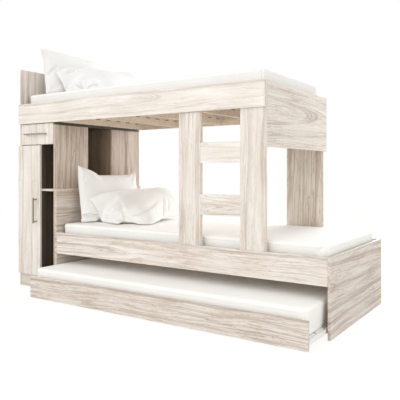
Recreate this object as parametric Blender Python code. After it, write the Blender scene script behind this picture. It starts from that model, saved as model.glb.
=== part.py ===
"""Triple bunk bed: an upper bed over a cabinet, a lower bed beside it and a trundle bed on casters.

X runs along the beds from the cabinet's outer side, Y from the front to the back, and Z up.
Places are given from the cabinet's front left corner on the floor. One empty, the parent of
everything, then puts the world's origin under the middle of the bed's bounding box.
All sizes are in metres.
"""

import math

import bmesh
import bpy
from mathutils import Matrix, Vector

# Boards, and the gap that is left between two pieces that touch
BOARD = 0.015
HARDBOARD = 0.003
EDGE_ROUND = 0.0008
FIT = 0.0003
HALF_FIT = FIT / 2
FLOOR = -HALF_FIT
CUT_OVERRUN = 0.002
JOIN_OVERLAP = 0.001

# Mattresses
MATTRESS_LENGTH = 1.88
MATTRESS_WIDTH = 0.78
MATTRESS_HEIGHT = 0.132
MATTRESS_CORNER = 0.024
MATTRESS_EDGE = 0.034
MATTRESS_CROWN_REACH = 0.11
TRUNDLE_MATTRESS_SHORTER = 0.025
# Each pair: inset as a share of MATTRESS_EDGE, height as a share of MATTRESS_HEIGHT
MATTRESS_SIDE_SHARES = (
    (1.00, 0.000),
    (0.26, 0.060),
    (0.00, 0.230),
    (0.10, 0.500),
    (0.00, 0.740),
    (0.26, 0.900),
    (1.00, 0.975),
)

# Beds
UPPER_BASE = 1.134
LOWER_BASE = 0.254
RAIL_HEIGHT = 0.14
HEAD_PANEL_HEIGHT = 1.523
LOWER_HEADBOARD_TOP = 0.684
UPPER_FOOT_PANEL_DROP = 0.202
UPPER_LENGTH_SPARE = 0.025
LOWER_LENGTH_SPARE = 0.008
WIDTH_SPARE = 0.03
BEAM_HEIGHT = 0.05
UPPER_BEAM_HEIGHT = 0.067
BEAM_THICKNESS = 0.025
BEAM_COUNT = 6
SLAT_WIDTH = 0.096
SLAT_THICKNESS = 0.015
SLAT_COUNT = 7
SLAT_END_PLAY = 0.002
LEDGER_THICKNESS = 0.02
LEDGER_DROP = 0.004

# Ladder and back post
POST_WIDTH = 0.146
POST_THICKNESS = 0.025
POST_TOP_PLAY = 0.002
RUNG_LENGTH = 0.252
RUNG_HEIGHT = 0.113
BACK_POST_WIDTH = 0.25

# Cabinet
CABINET_WIDTH = 0.362
FRONT_NICHE_WIDTH = 0.117
SIDE_NICHE_FRONT = 0.307
SIDE_NICHE_WIDTH = 0.242
PLINTH_HEIGHT = 0.088
REVEAL = 0.003
SHELF_SETBACK = 0.02

# Drawer
DRAWER_FRONT_HEIGHT = 0.145
DRAWER_RUNNING_GAP = 0.002
DRAWER_BOX_DEPTH = 0.262
DRAWER_BOX_HEIGHT = 0.1
DRAWER_BOX_LIFT = 0.006
DRAWER_SIDE = 0.012
GROOVE_DEPTH = 0.006
GROOVE_HEIGHT = 0.008
RUNNER_SPACE = 0.0125
RUNNER_HEIGHT = 0.035
RUNNER_WALL = 0.0012
RUNNER_PLAY = 0.0006
RUNNER_LIP = 0.002
RUNNER_END_PLAY = 0.004
RUNNER_BAR_THICKNESS = 0.006

# Door and its hinges
DOOR_GAP = 0.0005
CUP_RADIUS = 0.0175
CUP_DEPTH = 0.0115
CUP_WALL = 0.0012
CUP_EDGE = 0.004
HINGE_END_SHARE = 0.112
HINGE_PLATE_LENGTH = 0.05
HINGE_PLATE_HEIGHT = 0.042
HINGE_PLATE_THICKNESS = 0.0025
HINGE_PLATE_SETBACK = 0.02
HINGE_ARM_HEIGHT = 0.015
HINGE_ARM_REACH = 0.026
HINGE_ARM_RISE = 0.012
HINGE_ARM_TIP = 0.006

# Handles
HANDLE_SECTION = 0.011
HANDLE_STANDOFF = 0.028
HANDLE_ROUND = 0.0025
HANDLE_FOOT_RADIUS = 0.0055
HANDLE_FOOT_INSET = 0.012
DRAWER_HANDLE_LENGTH = 0.21
DOOR_HANDLE_LENGTH = 0.175
DOOR_HANDLE_HEIGHT = 0.535
DOOR_HANDLE_EDGE = 0.038

# Trundle
TRUNDLE_PULLED = 0.22
TRUNDLE_SIDE_PLAY = 0.007
TRUNDLE_WIDTH_PLAY = 0.01
TRUNDLE_FLOOR_GAP = 0.005
TRUNDLE_PANEL_TOP = 0.14
TRUNDLE_BEAM_WIDTH = 0.06
TRUNDLE_BEAM_HEIGHT = 0.011
TRUNDLE_BEAM_COUNT = 5
TRUNDLE_END_DROP = 0.005

# Casters
CASTER_HEIGHT = 0.03
WHEEL_SHARE = 0.43
WHEEL_WIDTH = 0.014
WHEEL_CROWN = 0.0015
WHEEL_HUB_RADIUS = 0.0052
WHEEL_DISH = 0.0022
WHEEL_RIM = 0.0035
AXLE_RADIUS = 0.002
AXLE_PLAY = 0.0003
BRACKET_PLAY = 0.0012
BRACKET_STEEL = 0.0015
BRACKET_PLATE = 0.036
BRACKET_TOE = 0.01
BRACKET_BELOW_AXLE = 0.0045
AXLE_HEAD = 0.0015
CASTER_INSET = 0.09

# Pillows, one leaning on the head of each bed and one lying in front of it
PILLOW_LENGTH = 0.62
PILLOW_WIDTH = 0.43
PILLOW_THICKNESS = 0.2
PILLOW_DRAWN_SHARE = 0.09
PILLOW_TOP_DRAWN_SHARE = 0.2
PILLOW_FULLNESS_SHARE = 0.62
PILLOW_SQUASH = 0.008
BACK_PILLOW_LEAN = math.radians(6)
BACK_PILLOW_FROM_HEAD = 0.082
BACK_PILLOW_HEIGHT = 0.18
BACK_PILLOW_ALONG = 0.42
FRONT_PILLOW_TILT = math.radians(15)
FRONT_PILLOW_TURN = math.radians(-8)
FRONT_PILLOW_FROM_HEAD = 0.345
FRONT_PILLOW_HEIGHT = 0.09
FRONT_PILLOW_ALONG = 0.445
PILLOW_PARTING_FROM_HEAD = 0.158

# Faces round each turned or round piece
WHEEL_SEGMENTS = 24
SMALL_ROUND_SEGMENTS = 12
CUP_SEGMENTS = 24
CORNER_STEPS = 4
PILLOW_CELLS_LONG = 16
PILLOW_CELLS_WIDE = 12
SMOOTH_ANGLE = math.radians(35)

# Planes that several pieces share
DEPTH = MATTRESS_WIDTH + 2 * (WIDTH_SPARE + BOARD)
BACK_RAIL_FACE = DEPTH - BOARD
BACK_LAYER = BACK_RAIL_FACE - BOARD
MATTRESS_FRONT = BOARD + WIDTH_SPARE
UPPER_RAIL_TOP = UPPER_BASE + RAIL_HEIGHT
LOWER_RAIL_TOP = LOWER_BASE + RAIL_HEIGHT
UPPER_START = BOARD
UPPER_END = UPPER_START + MATTRESS_LENGTH + UPPER_LENGTH_SPARE
UPPER_LENGTH = UPPER_END + BOARD
LOWER_START = CABINET_WIDTH + BOARD
LOWER_END = LOWER_START + MATTRESS_LENGTH + LOWER_LENGTH_SPARE
LOWER_LENGTH = LOWER_END + BOARD
SLAT_TOP = BEAM_HEIGHT + SLAT_THICKNESS
UPPER_SLAT_TOP = UPPER_BEAM_HEIGHT + SLAT_THICKNESS
CABINET_INNER = CABINET_WIDTH - BOARD
CABINET_TOP = UPPER_BASE - BOARD
CABINET_FLOOR = PLINTH_HEIGHT + BOARD
SIDE_NICHE_BACK = SIDE_NICHE_FRONT + SIDE_NICHE_WIDTH
FRONT_ROOM_BACK = SIDE_NICHE_FRONT - BOARD
SHELF_TOP = LOWER_HEADBOARD_TOP
DOOR_WIDTH = CABINET_INNER - FRONT_NICHE_WIDTH
DRAWER_BASE = UPPER_BASE - REVEAL - DRAWER_FRONT_HEIGHT
DOOR_TOP = DRAWER_BASE - REVEAL
DRAWER_BOX_BASE = DRAWER_BASE + BOARD + DRAWER_BOX_LIFT
DRAWER_BOX_BACK = BOARD + DRAWER_BOX_DEPTH
RIGHT_POST_START = UPPER_LENGTH - POST_WIDTH
LEFT_POST_END = RIGHT_POST_START - RUNG_LENGTH
LEFT_POST_START = LEFT_POST_END - POST_WIDTH
BACK_POST_START = UPPER_END - BACK_POST_WIDTH
TRUNDLE_MATTRESS_LENGTH = MATTRESS_LENGTH - TRUNDLE_MATTRESS_SHORTER
TRUNDLE_START = LOWER_START + TRUNDLE_SIDE_PLAY
TRUNDLE_END = LOWER_END - TRUNDLE_SIDE_PLAY
TRUNDLE_FRONT = -TRUNDLE_PULLED
TRUNDLE_DEPTH = MATTRESS_WIDTH + 2 * (TRUNDLE_WIDTH_PLAY + BOARD)
TRUNDLE_BACK = TRUNDLE_FRONT + TRUNDLE_DEPTH
WHEEL_RADIUS = CASTER_HEIGHT * WHEEL_SHARE
TRUNDLE_SLAT_BASE = CASTER_HEIGHT + TRUNDLE_BEAM_HEIGHT
TRUNDLE_SLAT_TOP = TRUNDLE_SLAT_BASE + SLAT_THICKNESS

# Materials: colour, roughness, metallic
MATERIALS = {
    "oak_laminate": ((0.74, 0.67, 0.59), 0.5, 0.0),
    "dark_laminate": ((0.06, 0.045, 0.035), 0.6, 0.0),
    "sawn_wood": ((0.6, 0.47, 0.32), 0.7, 0.0),
    "hardboard": ((0.3, 0.23, 0.17), 0.8, 0.0),
    "mattress_cover": ((0.86, 0.84, 0.8), 0.9, 0.0),
    "pillow_cotton": ((0.84, 0.82, 0.78), 0.9, 0.0),
    "handle_metal": ((0.42, 0.38, 0.33), 0.35, 0.8),
    "steel": ((0.6, 0.6, 0.6), 0.35, 1.0),
    "wheel_nylon": ((0.05, 0.05, 0.05), 0.5, 0.0),
}


def clear_scene():
    for old in list(bpy.data.objects):
        bpy.data.objects.remove(old, do_unlink=True)


def make_materials():
    for name, (colour, roughness, metallic) in MATERIALS.items():
        material = bpy.data.materials.new(name)
        material.use_nodes = True
        shader = material.node_tree.nodes["Principled BSDF"]
        shader.inputs["Base Color"].default_value = (*colour, 1.0)
        shader.inputs["Roughness"].default_value = roughness
        shader.inputs["Metallic"].default_value = metallic


def make_empty(name, place, parent=None):
    empty = bpy.data.objects.new(name, None)
    bpy.context.scene.collection.objects.link(empty)
    empty.parent = parent
    empty.location = Vector(place)
    return empty


def place_of(parent):
    """Where an empty lies, measured from the cabinet's front left corner."""
    return Vector() if parent.parent is None else Vector(parent.location)


def add_object(name, bm, origin, material, parent, smooth=False, turn_out=True):
    """Makes an object of the mesh, with its own origin at a place of the bed."""
    if turn_out:
        bmesh.ops.recalc_face_normals(bm, faces=bm.faces)
    bmesh.ops.translate(bm, vec=-Vector(origin), verts=bm.verts)
    mesh = bpy.data.meshes.new(name)
    bm.to_mesh(mesh)
    bm.free()
    if smooth:
        mesh.shade_smooth()
        mesh.set_sharp_from_angle(angle=SMOOTH_ANGLE)
    mesh.materials.append(bpy.data.materials[material])
    part = bpy.data.objects.new(name, mesh)
    bpy.context.scene.collection.objects.link(part)
    part.parent = parent
    part.location = Vector(origin) - place_of(parent)
    return part


def add_box(bm, low, high):
    """Adds a box that is drawn half a fit gap inside its nominal corners."""
    inset = Vector((HALF_FIT, HALF_FIT, HALF_FIT))
    low = Vector(low) + inset
    high = Vector(high) - inset
    scale = Matrix.Diagonal((*(high - low), 1))
    bmesh.ops.create_cube(bm, size=1, matrix=Matrix.Translation((low + high) / 2) @ scale)


def add_prism(bm, outline, low, high, axis):
    """Adds an outline extruded along an axis: (x, z) points along Y, (x, y) along Z or (y, z) along X."""
    spots = {"X": lambda u, v, w: (w, u, v), "Y": lambda u, v, w: (u, w, v), "Z": lambda u, v, w: (u, v, w)}
    spot = spots[axis]
    rings = []
    for level in (low, high):
        rings.append([bm.verts.new(spot(u, v, level)) for u, v in outline])
    bm.faces.new(rings[0])
    bm.faces.new(rings[1])
    for first, second in zip(range(len(outline)), list(range(1, len(outline))) + [0]):
        bm.faces.new((rings[0][first], rings[0][second], rings[1][second], rings[1][first]))


def add_cylinder(bm, centre, radius, length, axis, segments):
    turns = {"X": Matrix.Rotation(math.pi / 2, 4, "Y"), "Y": Matrix.Rotation(math.pi / 2, 4, "X")}
    turn = turns.get(axis, Matrix.Identity(4))
    bmesh.ops.create_cone(
        bm,
        cap_ends=True,
        segments=segments,
        radius1=radius,
        radius2=radius,
        depth=length,
        matrix=Matrix.Translation(centre) @ turn,
    )


def add_turned(bm, profile, centre, axis, segments):
    """Adds a ring turned from (radius, place along the axis) points."""
    aims = {"X": lambda r, a, s: (s, r * math.cos(a), r * math.sin(a)),
            "Y": lambda r, a, s: (r * math.cos(a), s, r * math.sin(a))}
    aim = aims[axis]
    rings = []
    for step in range(segments):
        angle = 2 * math.pi * step / segments
        rings.append([bm.verts.new(Vector(centre) + Vector(aim(r, angle, s))) for r, s in profile])
    for step in range(segments):
        near = rings[step]
        far = rings[(step + 1) % segments]
        for first in range(len(profile)):
            second = (first + 1) % len(profile)
            bm.faces.new((near[first], near[second], far[second], far[first]))


def round_edges(part, width, segments=1):
    rounding = part.modifiers.new("edge_round", "BEVEL")
    rounding.width = width
    rounding.segments = segments
    rounding.limit_method = "ANGLE"
    return part


def board(name, low, high, material, parent, edge=EDGE_ROUND):
    """Makes one board, given by its nominal corners."""
    bm = bmesh.new()
    add_box(bm, low, high)
    origin = (Vector(low) + Vector(high)) / 2
    return round_edges(add_object(name, bm, origin, material, parent), edge)


def cut(part, bm, parent):
    """Cuts the shape out of the part, and keeps it as a hidden cutter."""
    cutter = add_object(part.name + "_cutter", bm, Vector(), part.data.materials[0].name, parent)
    cutter.hide_render = True
    cutter.display_type = "WIRE"
    difference = part.modifiers.new("holes", "BOOLEAN")
    difference.operation = "DIFFERENCE"
    difference.object = cutter


def join(part, bm, parent, addition="addition"):
    """Joins the shape to the part, and keeps it as a hidden helper."""
    helper = add_object(part.name + "_" + addition, bm, Vector(), part.data.materials[0].name, parent)
    helper.hide_render = True
    helper.display_type = "WIRE"
    union = part.modifiers.new(addition, "BOOLEAN")
    union.operation = "UNION"
    union.object = helper


def spread(first, last, count):
    return [first + (last - first) * step / (count - 1) for step in range(count)]


def make_cabinet(bed):
    oak = "oak_laminate"
    dark = "dark_laminate"
    pieces = (
        ("head_side_panel", (0, 0, FLOOR), (BOARD, DEPTH, HEAD_PANEL_HEIGHT), oak),
        ("bed_side_front_panel", (CABINET_INNER, 0, FLOOR), (CABINET_WIDTH, SIDE_NICHE_FRONT, CABINET_TOP), oak),
        ("bed_side_rear_panel", (CABINET_INNER, SIDE_NICHE_BACK, FLOOR), (CABINET_WIDTH, DEPTH, CABINET_TOP), oak),
        ("plinth", (BOARD, 0, FLOOR), (CABINET_INNER, BOARD, PLINTH_HEIGHT), oak),
        (
            "cabinet_bottom",
            (BOARD, 0, PLINTH_HEIGHT),
            (CABINET_INNER, DEPTH - HARDBOARD, CABINET_FLOOR),
            dark,
        ),
        (
            "niche_front_partition",
            (BOARD, FRONT_ROOM_BACK, CABINET_FLOOR),
            (CABINET_INNER, SIDE_NICHE_FRONT, CABINET_TOP),
            dark,
        ),
        (
            "niche_rear_partition",
            (BOARD, SIDE_NICHE_BACK, CABINET_FLOOR),
            (CABINET_INNER, SIDE_NICHE_BACK + BOARD, CABINET_TOP),
            dark,
        ),
        (
            "side_niche_floor",
            (BOARD, SIDE_NICHE_FRONT, SHELF_TOP - BOARD),
            (CABINET_WIDTH, SIDE_NICHE_BACK, SHELF_TOP),
            dark,
        ),
        (
            "door_partition",
            (DOOR_WIDTH - BOARD, 0, CABINET_FLOOR),
            (DOOR_WIDTH, FRONT_ROOM_BACK, DRAWER_BASE),
            dark,
        ),
        (
            "drawer_divider",
            (BOARD, BOARD, DRAWER_BASE),
            (CABINET_INNER, FRONT_ROOM_BACK, DRAWER_BASE + BOARD),
            dark,
        ),
        (
            "front_niche_shelf",
            (DOOR_WIDTH, 0, SHELF_TOP - BOARD),
            (CABINET_INNER, FRONT_ROOM_BACK, SHELF_TOP),
            oak,
        ),
        (
            "compartment_shelf",
            (BOARD, SHELF_SETBACK, SHELF_TOP - BOARD),
            (DOOR_WIDTH - BOARD, FRONT_ROOM_BACK, SHELF_TOP),
            dark,
        ),
    )
    for name, low, high, material in pieces:
        board(name, low, high, material, bed)
    back_low = (BOARD, DEPTH - HARDBOARD, PLINTH_HEIGHT)
    board("cabinet_back", back_low, (CABINET_INNER, DEPTH, CABINET_TOP), "hardboard", bed, HARDBOARD / 8)


def make_cabinet_top(bed):
    """The top reaches the front only over the bed side panel: beside it the drawer front stands."""
    outline = (
        (BOARD + HALF_FIT, BOARD + HALF_FIT),
        (CABINET_INNER + HALF_FIT, BOARD + HALF_FIT),
        (CABINET_INNER + HALF_FIT, HALF_FIT),
        (CABINET_WIDTH - HALF_FIT, HALF_FIT),
        (CABINET_WIDTH - HALF_FIT, DEPTH - HALF_FIT),
        (BOARD + HALF_FIT, DEPTH - HALF_FIT),
    )
    bm = bmesh.new()
    add_prism(bm, outline, CABINET_TOP + HALF_FIT, UPPER_BASE - HALF_FIT, "Z")
    round_edges(add_object("cabinet_top", bm, (BOARD, BOARD, CABINET_TOP), "dark_laminate", bed), EDGE_ROUND)


def add_beams(bm, start, end, front, back, base, count, thickness, height):
    """Cross beams, evenly spread, with the outer two against the end boards."""
    for left in spread(start, end - thickness, count):
        add_box(bm, (left, front, base), (left + thickness, back, base + height))


def add_slats(bm, start, end, front, base):
    """Slats along the bed, sunk a little into the beams that they are stapled to."""
    low = base - JOIN_OVERLAP
    for near in spread(front, front + MATTRESS_WIDTH - SLAT_WIDTH, SLAT_COUNT):
        add_box(bm, (start, near, low), (end, near + SLAT_WIDTH, base + SLAT_THICKNESS))


def rounded_rectangle(half_x, half_y, radius):
    """Points round a rectangle with rounded corners, with one more point along each long side."""
    points = []
    for quarter in range(4):
        side_x = 1 if quarter in (0, 3) else -1
        side_y = 1 if quarter in (0, 1) else -1
        for step in range(CORNER_STEPS + 1):
            angle = math.pi / 2 * (quarter + step / CORNER_STEPS)
            x = side_x * (half_x - radius) + radius * math.cos(angle)
            y = side_y * (half_y - radius) + radius * math.sin(angle)
            points.append((x, y))
        if quarter in (0, 2):
            points.append((0, side_y * half_y))
    return points


def make_mattress(name, start, length, front, base, parent):
    """A foam mattress: sides drawn in at mid height, round edges and a low crown."""
    bm = bmesh.new()
    half_x = length / 2
    half_y = MATTRESS_WIDTH / 2
    centre = Vector((start + half_x, front + half_y, base + HALF_FIT))
    levels = [(MATTRESS_EDGE * inset, MATTRESS_HEIGHT * rise) for inset, rise in MATTRESS_SIDE_SHARES]
    levels.append((MATTRESS_CROWN_REACH, MATTRESS_HEIGHT))
    rings = []
    for inset, rise in levels:
        radius = max(MATTRESS_CORNER - inset, MATTRESS_CORNER / 2)
        ring = rounded_rectangle(half_x - inset, half_y - inset, radius)
        rings.append([bm.verts.new(centre + Vector((x, y, rise))) for x, y in ring])
    bm.faces.new(rings[0])
    bm.faces.new(rings[-1])
    count = len(rings[0])
    for lower, upper in zip(rings[:-1], rings[1:]):
        for first in range(count):
            second = (first + 1) % count
            bm.faces.new((lower[first], lower[second], upper[second], upper[first]))
    add_object(name, bm, centre, "mattress_cover", parent, smooth=True)


def squash_on(point, normal, place):
    """Moves a place that lies near or past a plane to its free side, and keeps their order."""
    reach = (place - point).dot(normal)
    if reach >= PILLOW_SQUASH:
        return place
    kept = PILLOW_SQUASH * math.exp((reach - PILLOW_SQUASH) / PILLOW_SQUASH)
    return place + normal * (kept - reach)


def make_pillow(name, centre, along, across, faces, top_share, parent):
    """A filled pillow with a seam round it: thin at its corners, drawn in between them."""
    bm = bmesh.new()
    through = along.cross(across)
    half_long = PILLOW_LENGTH / 2
    half_wide = PILLOW_WIDTH / 2
    half_thick = PILLOW_THICKNESS / 2

    def spot(column, row, side):
        u = -math.cos(math.pi * column / PILLOW_CELLS_LONG)
        v = -math.cos(math.pi * row / PILLOW_CELLS_WIDE)
        drawn = top_share if v > 0 else PILLOW_DRAWN_SHARE
        x = half_long * u * (1 - PILLOW_DRAWN_SHARE * (1 - v * v))
        y = half_wide * v * (1 - drawn * (1 - u * u))
        fullness = max((1 - u * u) * (1 - v * v), 0) ** PILLOW_FULLNESS_SHARE
        place = centre + along * x + across * y + through * (side * half_thick * fullness)
        for point, normal in faces:
            place = squash_on(point, normal, place)
        return place

    grids = []
    for side in (1, -1):
        grid = {}
        for column in range(PILLOW_CELLS_LONG + 1):
            for row in range(PILLOW_CELLS_WIDE + 1):
                on_seam = column in (0, PILLOW_CELLS_LONG) or row in (0, PILLOW_CELLS_WIDE)
                if side < 0 and on_seam:
                    grid[column, row] = grids[0][column, row]
                else:
                    grid[column, row] = bm.verts.new(spot(column, row, side))
        grids.append(grid)
    for grid, winding in zip(grids, (1, -1)):
        for column in range(PILLOW_CELLS_LONG):
            for row in range(PILLOW_CELLS_WIDE):
                corners = ((column, row), (column + 1, row), (column + 1, row + 1), (column, row + 1))
                bm.faces.new([grid[corner] for corner in corners[::winding]])
    add_object(name, bm, centre, "pillow_cotton", parent, smooth=True, turn_out=False)


def make_pillows(level, start, mattress_top, bed):
    """The pair on one bed, placed from the face of its headboard and the top of its mattress."""
    rest = Vector((start, 0, mattress_top + FIT))
    up = Vector((0, 0, 1))
    from_head = Vector((1, 0, 0))
    lean = Vector((-math.sin(BACK_PILLOW_LEAN), 0, math.cos(BACK_PILLOW_LEAN)))
    parting_normal = Vector((math.cos(BACK_PILLOW_LEAN), 0, math.sin(BACK_PILLOW_LEAN)))
    parting = rest + from_head * PILLOW_PARTING_FROM_HEAD
    make_pillow(
        level + "_back_pillow",
        rest + Vector((BACK_PILLOW_FROM_HEAD, BACK_PILLOW_ALONG, BACK_PILLOW_HEIGHT)),
        Vector((0, 1, 0)),
        lean,
        (
            (rest, up),
            (rest + from_head * FIT, from_head),
            (parting - parting_normal * HALF_FIT, -parting_normal),
        ),
        PILLOW_TOP_DRAWN_SHARE,
        bed,
    )
    along = Vector((-math.sin(FRONT_PILLOW_TURN), math.cos(FRONT_PILLOW_TURN), 0))
    level_across = Vector((-math.cos(FRONT_PILLOW_TURN), -math.sin(FRONT_PILLOW_TURN), 0))
    across = level_across * math.cos(FRONT_PILLOW_TILT) + up * math.sin(FRONT_PILLOW_TILT)
    make_pillow(
        level + "_front_pillow",
        rest + Vector((FRONT_PILLOW_FROM_HEAD, FRONT_PILLOW_ALONG, FRONT_PILLOW_HEIGHT)),
        along,
        across,
        ((rest, up), (parting + parting_normal * HALF_FIT, parting_normal)),
        PILLOW_DRAWN_SHARE,
        bed,
    )


def make_slatted_base(name, start, end, front, back, base, height, ledgers, bed):
    """Beams, the slats across them and the ledgers at their ends, as one stapled frame."""
    beams = bmesh.new()
    add_beams(beams, start, end, front, back, base, BEAM_COUNT, BEAM_THICKNESS, height)
    part = add_object(name, beams, (start, front, base), "sawn_wood", bed)
    strips = bmesh.new()
    for low, high in ledgers:
        add_box(strips, low, high)
    join(part, strips, bed, "ledgers")
    slats = bmesh.new()
    play = SLAT_END_PLAY
    add_slats(slats, start + play, end - play, MATTRESS_FRONT, base + height)
    join(part, slats, bed, "slats")


def make_lower_bed(bed):
    base = LOWER_BASE
    oak = "oak_laminate"
    top = LOWER_RAIL_TOP
    board("lower_headboard", (CABINET_WIDTH, 0, FLOOR), (LOWER_START, DEPTH, LOWER_HEADBOARD_TOP), oak, bed)
    board("lower_front_rail", (LOWER_START, 0, base), (LOWER_END, BOARD, top), oak, bed)
    board("lower_back_rail", (LOWER_START, BACK_RAIL_FACE, base), (LOWER_END, DEPTH, top), oak, bed)
    board("lower_foot_panel", (LOWER_END, 0, FLOOR), (LOWER_LENGTH, DEPTH, top), oak, bed)
    low = base + LEDGER_DROP
    high = base + BEAM_HEIGHT - LEDGER_DROP
    front = BOARD + LEDGER_THICKNESS
    ledgers = (
        ((LOWER_START, BOARD, low), (LOWER_END, front + JOIN_OVERLAP, high)),
        ((LOWER_START, BACK_LAYER - JOIN_OVERLAP, low), (BACK_POST_START, BACK_RAIL_FACE, high)),
        ((UPPER_END, BACK_LAYER - JOIN_OVERLAP, low), (LOWER_END, BACK_RAIL_FACE, high)),
    )
    span = (LOWER_START, LOWER_END, front, BACK_LAYER)
    make_slatted_base("lower_slatted_base", *span, base, BEAM_HEIGHT, ledgers, bed)
    start = LOWER_START + LOWER_LENGTH_SPARE / 2
    make_mattress("lower_mattress", start, MATTRESS_LENGTH, MATTRESS_FRONT, base + SLAT_TOP, bed)
    make_pillows("lower", LOWER_START, base + SLAT_TOP + MATTRESS_HEIGHT, bed)


def make_upper_bed(bed):
    base = UPPER_BASE
    oak = "oak_laminate"
    top = UPPER_RAIL_TOP
    board("upper_front_rail", (0, -BOARD, base), (UPPER_LENGTH, 0, top), oak, bed)
    board("upper_back_rail", (UPPER_START, BACK_RAIL_FACE, base), (UPPER_END, DEPTH, top), oak, bed)
    panel_low = (UPPER_END, POST_THICKNESS, base - UPPER_FOOT_PANEL_DROP)
    board("upper_foot_panel", panel_low, (UPPER_LENGTH, DEPTH, top), oak, bed)
    low = base + LEDGER_DROP
    high = base + UPPER_BEAM_HEIGHT - LEDGER_DROP
    front = POST_THICKNESS
    ledgers = (
        ((UPPER_START, 0, low), (LEFT_POST_START, front + JOIN_OVERLAP, high)),
        ((UPPER_START, BACK_LAYER - JOIN_OVERLAP, low), (BACK_POST_START, BACK_RAIL_FACE, high)),
    )
    span = (UPPER_START, UPPER_END, front, BACK_LAYER)
    make_slatted_base("upper_slatted_base", *span, base, UPPER_BEAM_HEIGHT, ledgers, bed)
    start = UPPER_START + UPPER_LENGTH_SPARE / 2
    make_mattress("upper_mattress", start, MATTRESS_LENGTH, MATTRESS_FRONT, base + UPPER_SLAT_TOP, bed)
    make_pillows("upper", UPPER_START, base + UPPER_SLAT_TOP + MATTRESS_HEIGHT, bed)


def make_ladder(bed):
    """Two posts between the rails, lapped behind both, and two rungs flush with them."""
    lap_base = LOWER_BASE + BEAM_HEIGHT + SLAT_THICKNESS
    top = UPPER_RAIL_TOP - POST_TOP_PLAY
    outline = (
        (HALF_FIT, LOWER_RAIL_TOP + HALF_FIT),
        (BOARD + HALF_FIT, LOWER_RAIL_TOP + HALF_FIT),
        (BOARD + HALF_FIT, lap_base + HALF_FIT),
        (POST_THICKNESS - HALF_FIT, lap_base + HALF_FIT),
        (POST_THICKNESS - HALF_FIT, top),
        (HALF_FIT, top),
    )
    for name, start in (("left_ladder_post", LEFT_POST_START), ("right_ladder_post", RIGHT_POST_START)):
        bm = bmesh.new()
        add_prism(bm, outline, start + HALF_FIT, start + POST_WIDTH - HALF_FIT, "X")
        post = add_object(name, bm, (start, 0, LOWER_RAIL_TOP), "oak_laminate", bed)
        round_edges(post, EDGE_ROUND)
    gap = (UPPER_BASE - LOWER_RAIL_TOP - 2 * RUNG_HEIGHT) / 3
    for name, step in (("lower_rung", 1), ("upper_rung", 2)):
        low = LOWER_RAIL_TOP + step * gap + (step - 1) * RUNG_HEIGHT
        high_corner = (RIGHT_POST_START, POST_THICKNESS, low + RUNG_HEIGHT)
        board(name, (LEFT_POST_END, 0, low), high_corner, "oak_laminate", bed)
    post_top = UPPER_RAIL_TOP - POST_TOP_PLAY
    low_corner = (BACK_POST_START, BACK_LAYER, FLOOR)
    board("back_post", low_corner, (UPPER_END, BACK_RAIL_FACE, post_top), "oak_laminate", bed)


def make_handle(name, centre, length, axis, face, parent):
    """A bar on two round feet that stand on a front whose face is at the given Y."""
    bm = bmesh.new()
    half_bar = HANDLE_SECTION / 2
    bar_y = face - HANDLE_STANDOFF
    reach = Vector((length / 2, half_bar, half_bar)) if axis == "X" else Vector((half_bar, half_bar, length / 2))
    middle = Vector((centre[0], bar_y, centre[1]))
    add_box(bm, middle - reach, middle + reach)
    origin = Vector((centre[0], face, centre[1]))
    part = add_object(name, bm, origin, "handle_metal", parent)
    round_edges(part, HANDLE_ROUND, 2)
    feet = bmesh.new()
    foot_length = face - HALF_FIT - bar_y
    for side in (-1, 1):
        offset = side * (length / 2 - HANDLE_FOOT_INSET)
        foot = Vector((centre[0], bar_y + foot_length / 2, centre[1]))
        foot += Vector((offset, 0, 0)) if axis == "X" else Vector((0, 0, offset))
        add_cylinder(feet, foot, HANDLE_FOOT_RADIUS, foot_length, "Y", SMALL_ROUND_SEGMENTS)
    join(part, feet, parent)


def make_drawer(bed):
    slide = make_empty("drawer_slide", (CABINET_WIDTH / 2, 0, DRAWER_BASE), bed)
    front_low = (BOARD + REVEAL, 0, DRAWER_BASE + DRAWER_RUNNING_GAP)
    front_high = (CABINET_INNER - REVEAL, BOARD, DRAWER_BASE + DRAWER_FRONT_HEIGHT)
    board("drawer_front", front_low, front_high, "oak_laminate", slide)
    top = DRAWER_BOX_BASE + DRAWER_BOX_HEIGHT
    groove_low = DRAWER_BOX_BASE + GROOVE_HEIGHT
    groove_high = groove_low + HARDBOARD + FIT
    inner_left = BOARD + RUNNER_SPACE + DRAWER_SIDE
    inner_right = CABINET_INNER - RUNNER_SPACE - DRAWER_SIDE
    make_drawer_side("left", BOARD, 1, (groove_low, groove_high), bed, slide)
    make_drawer_side("right", CABINET_INNER, -1, (groove_low, groove_high), bed, slide)
    board(
        "drawer_bottom",
        (inner_left - GROOVE_DEPTH, BOARD, groove_low),
        (inner_right + GROOVE_DEPTH, DRAWER_BOX_BACK, groove_high),
        "hardboard",
        slide,
        HARDBOARD / 8,
    )
    back_low = (inner_left, DRAWER_BOX_BACK - DRAWER_SIDE, groove_high)
    board("drawer_back", back_low, (inner_right, DRAWER_BOX_BACK, top), "dark_laminate", slide)
    middle = (CABINET_WIDTH / 2, (front_low[2] + front_high[2]) / 2)
    make_handle("drawer_handle", middle, DRAWER_HANDLE_LENGTH, "X", 0, slide)


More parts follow.
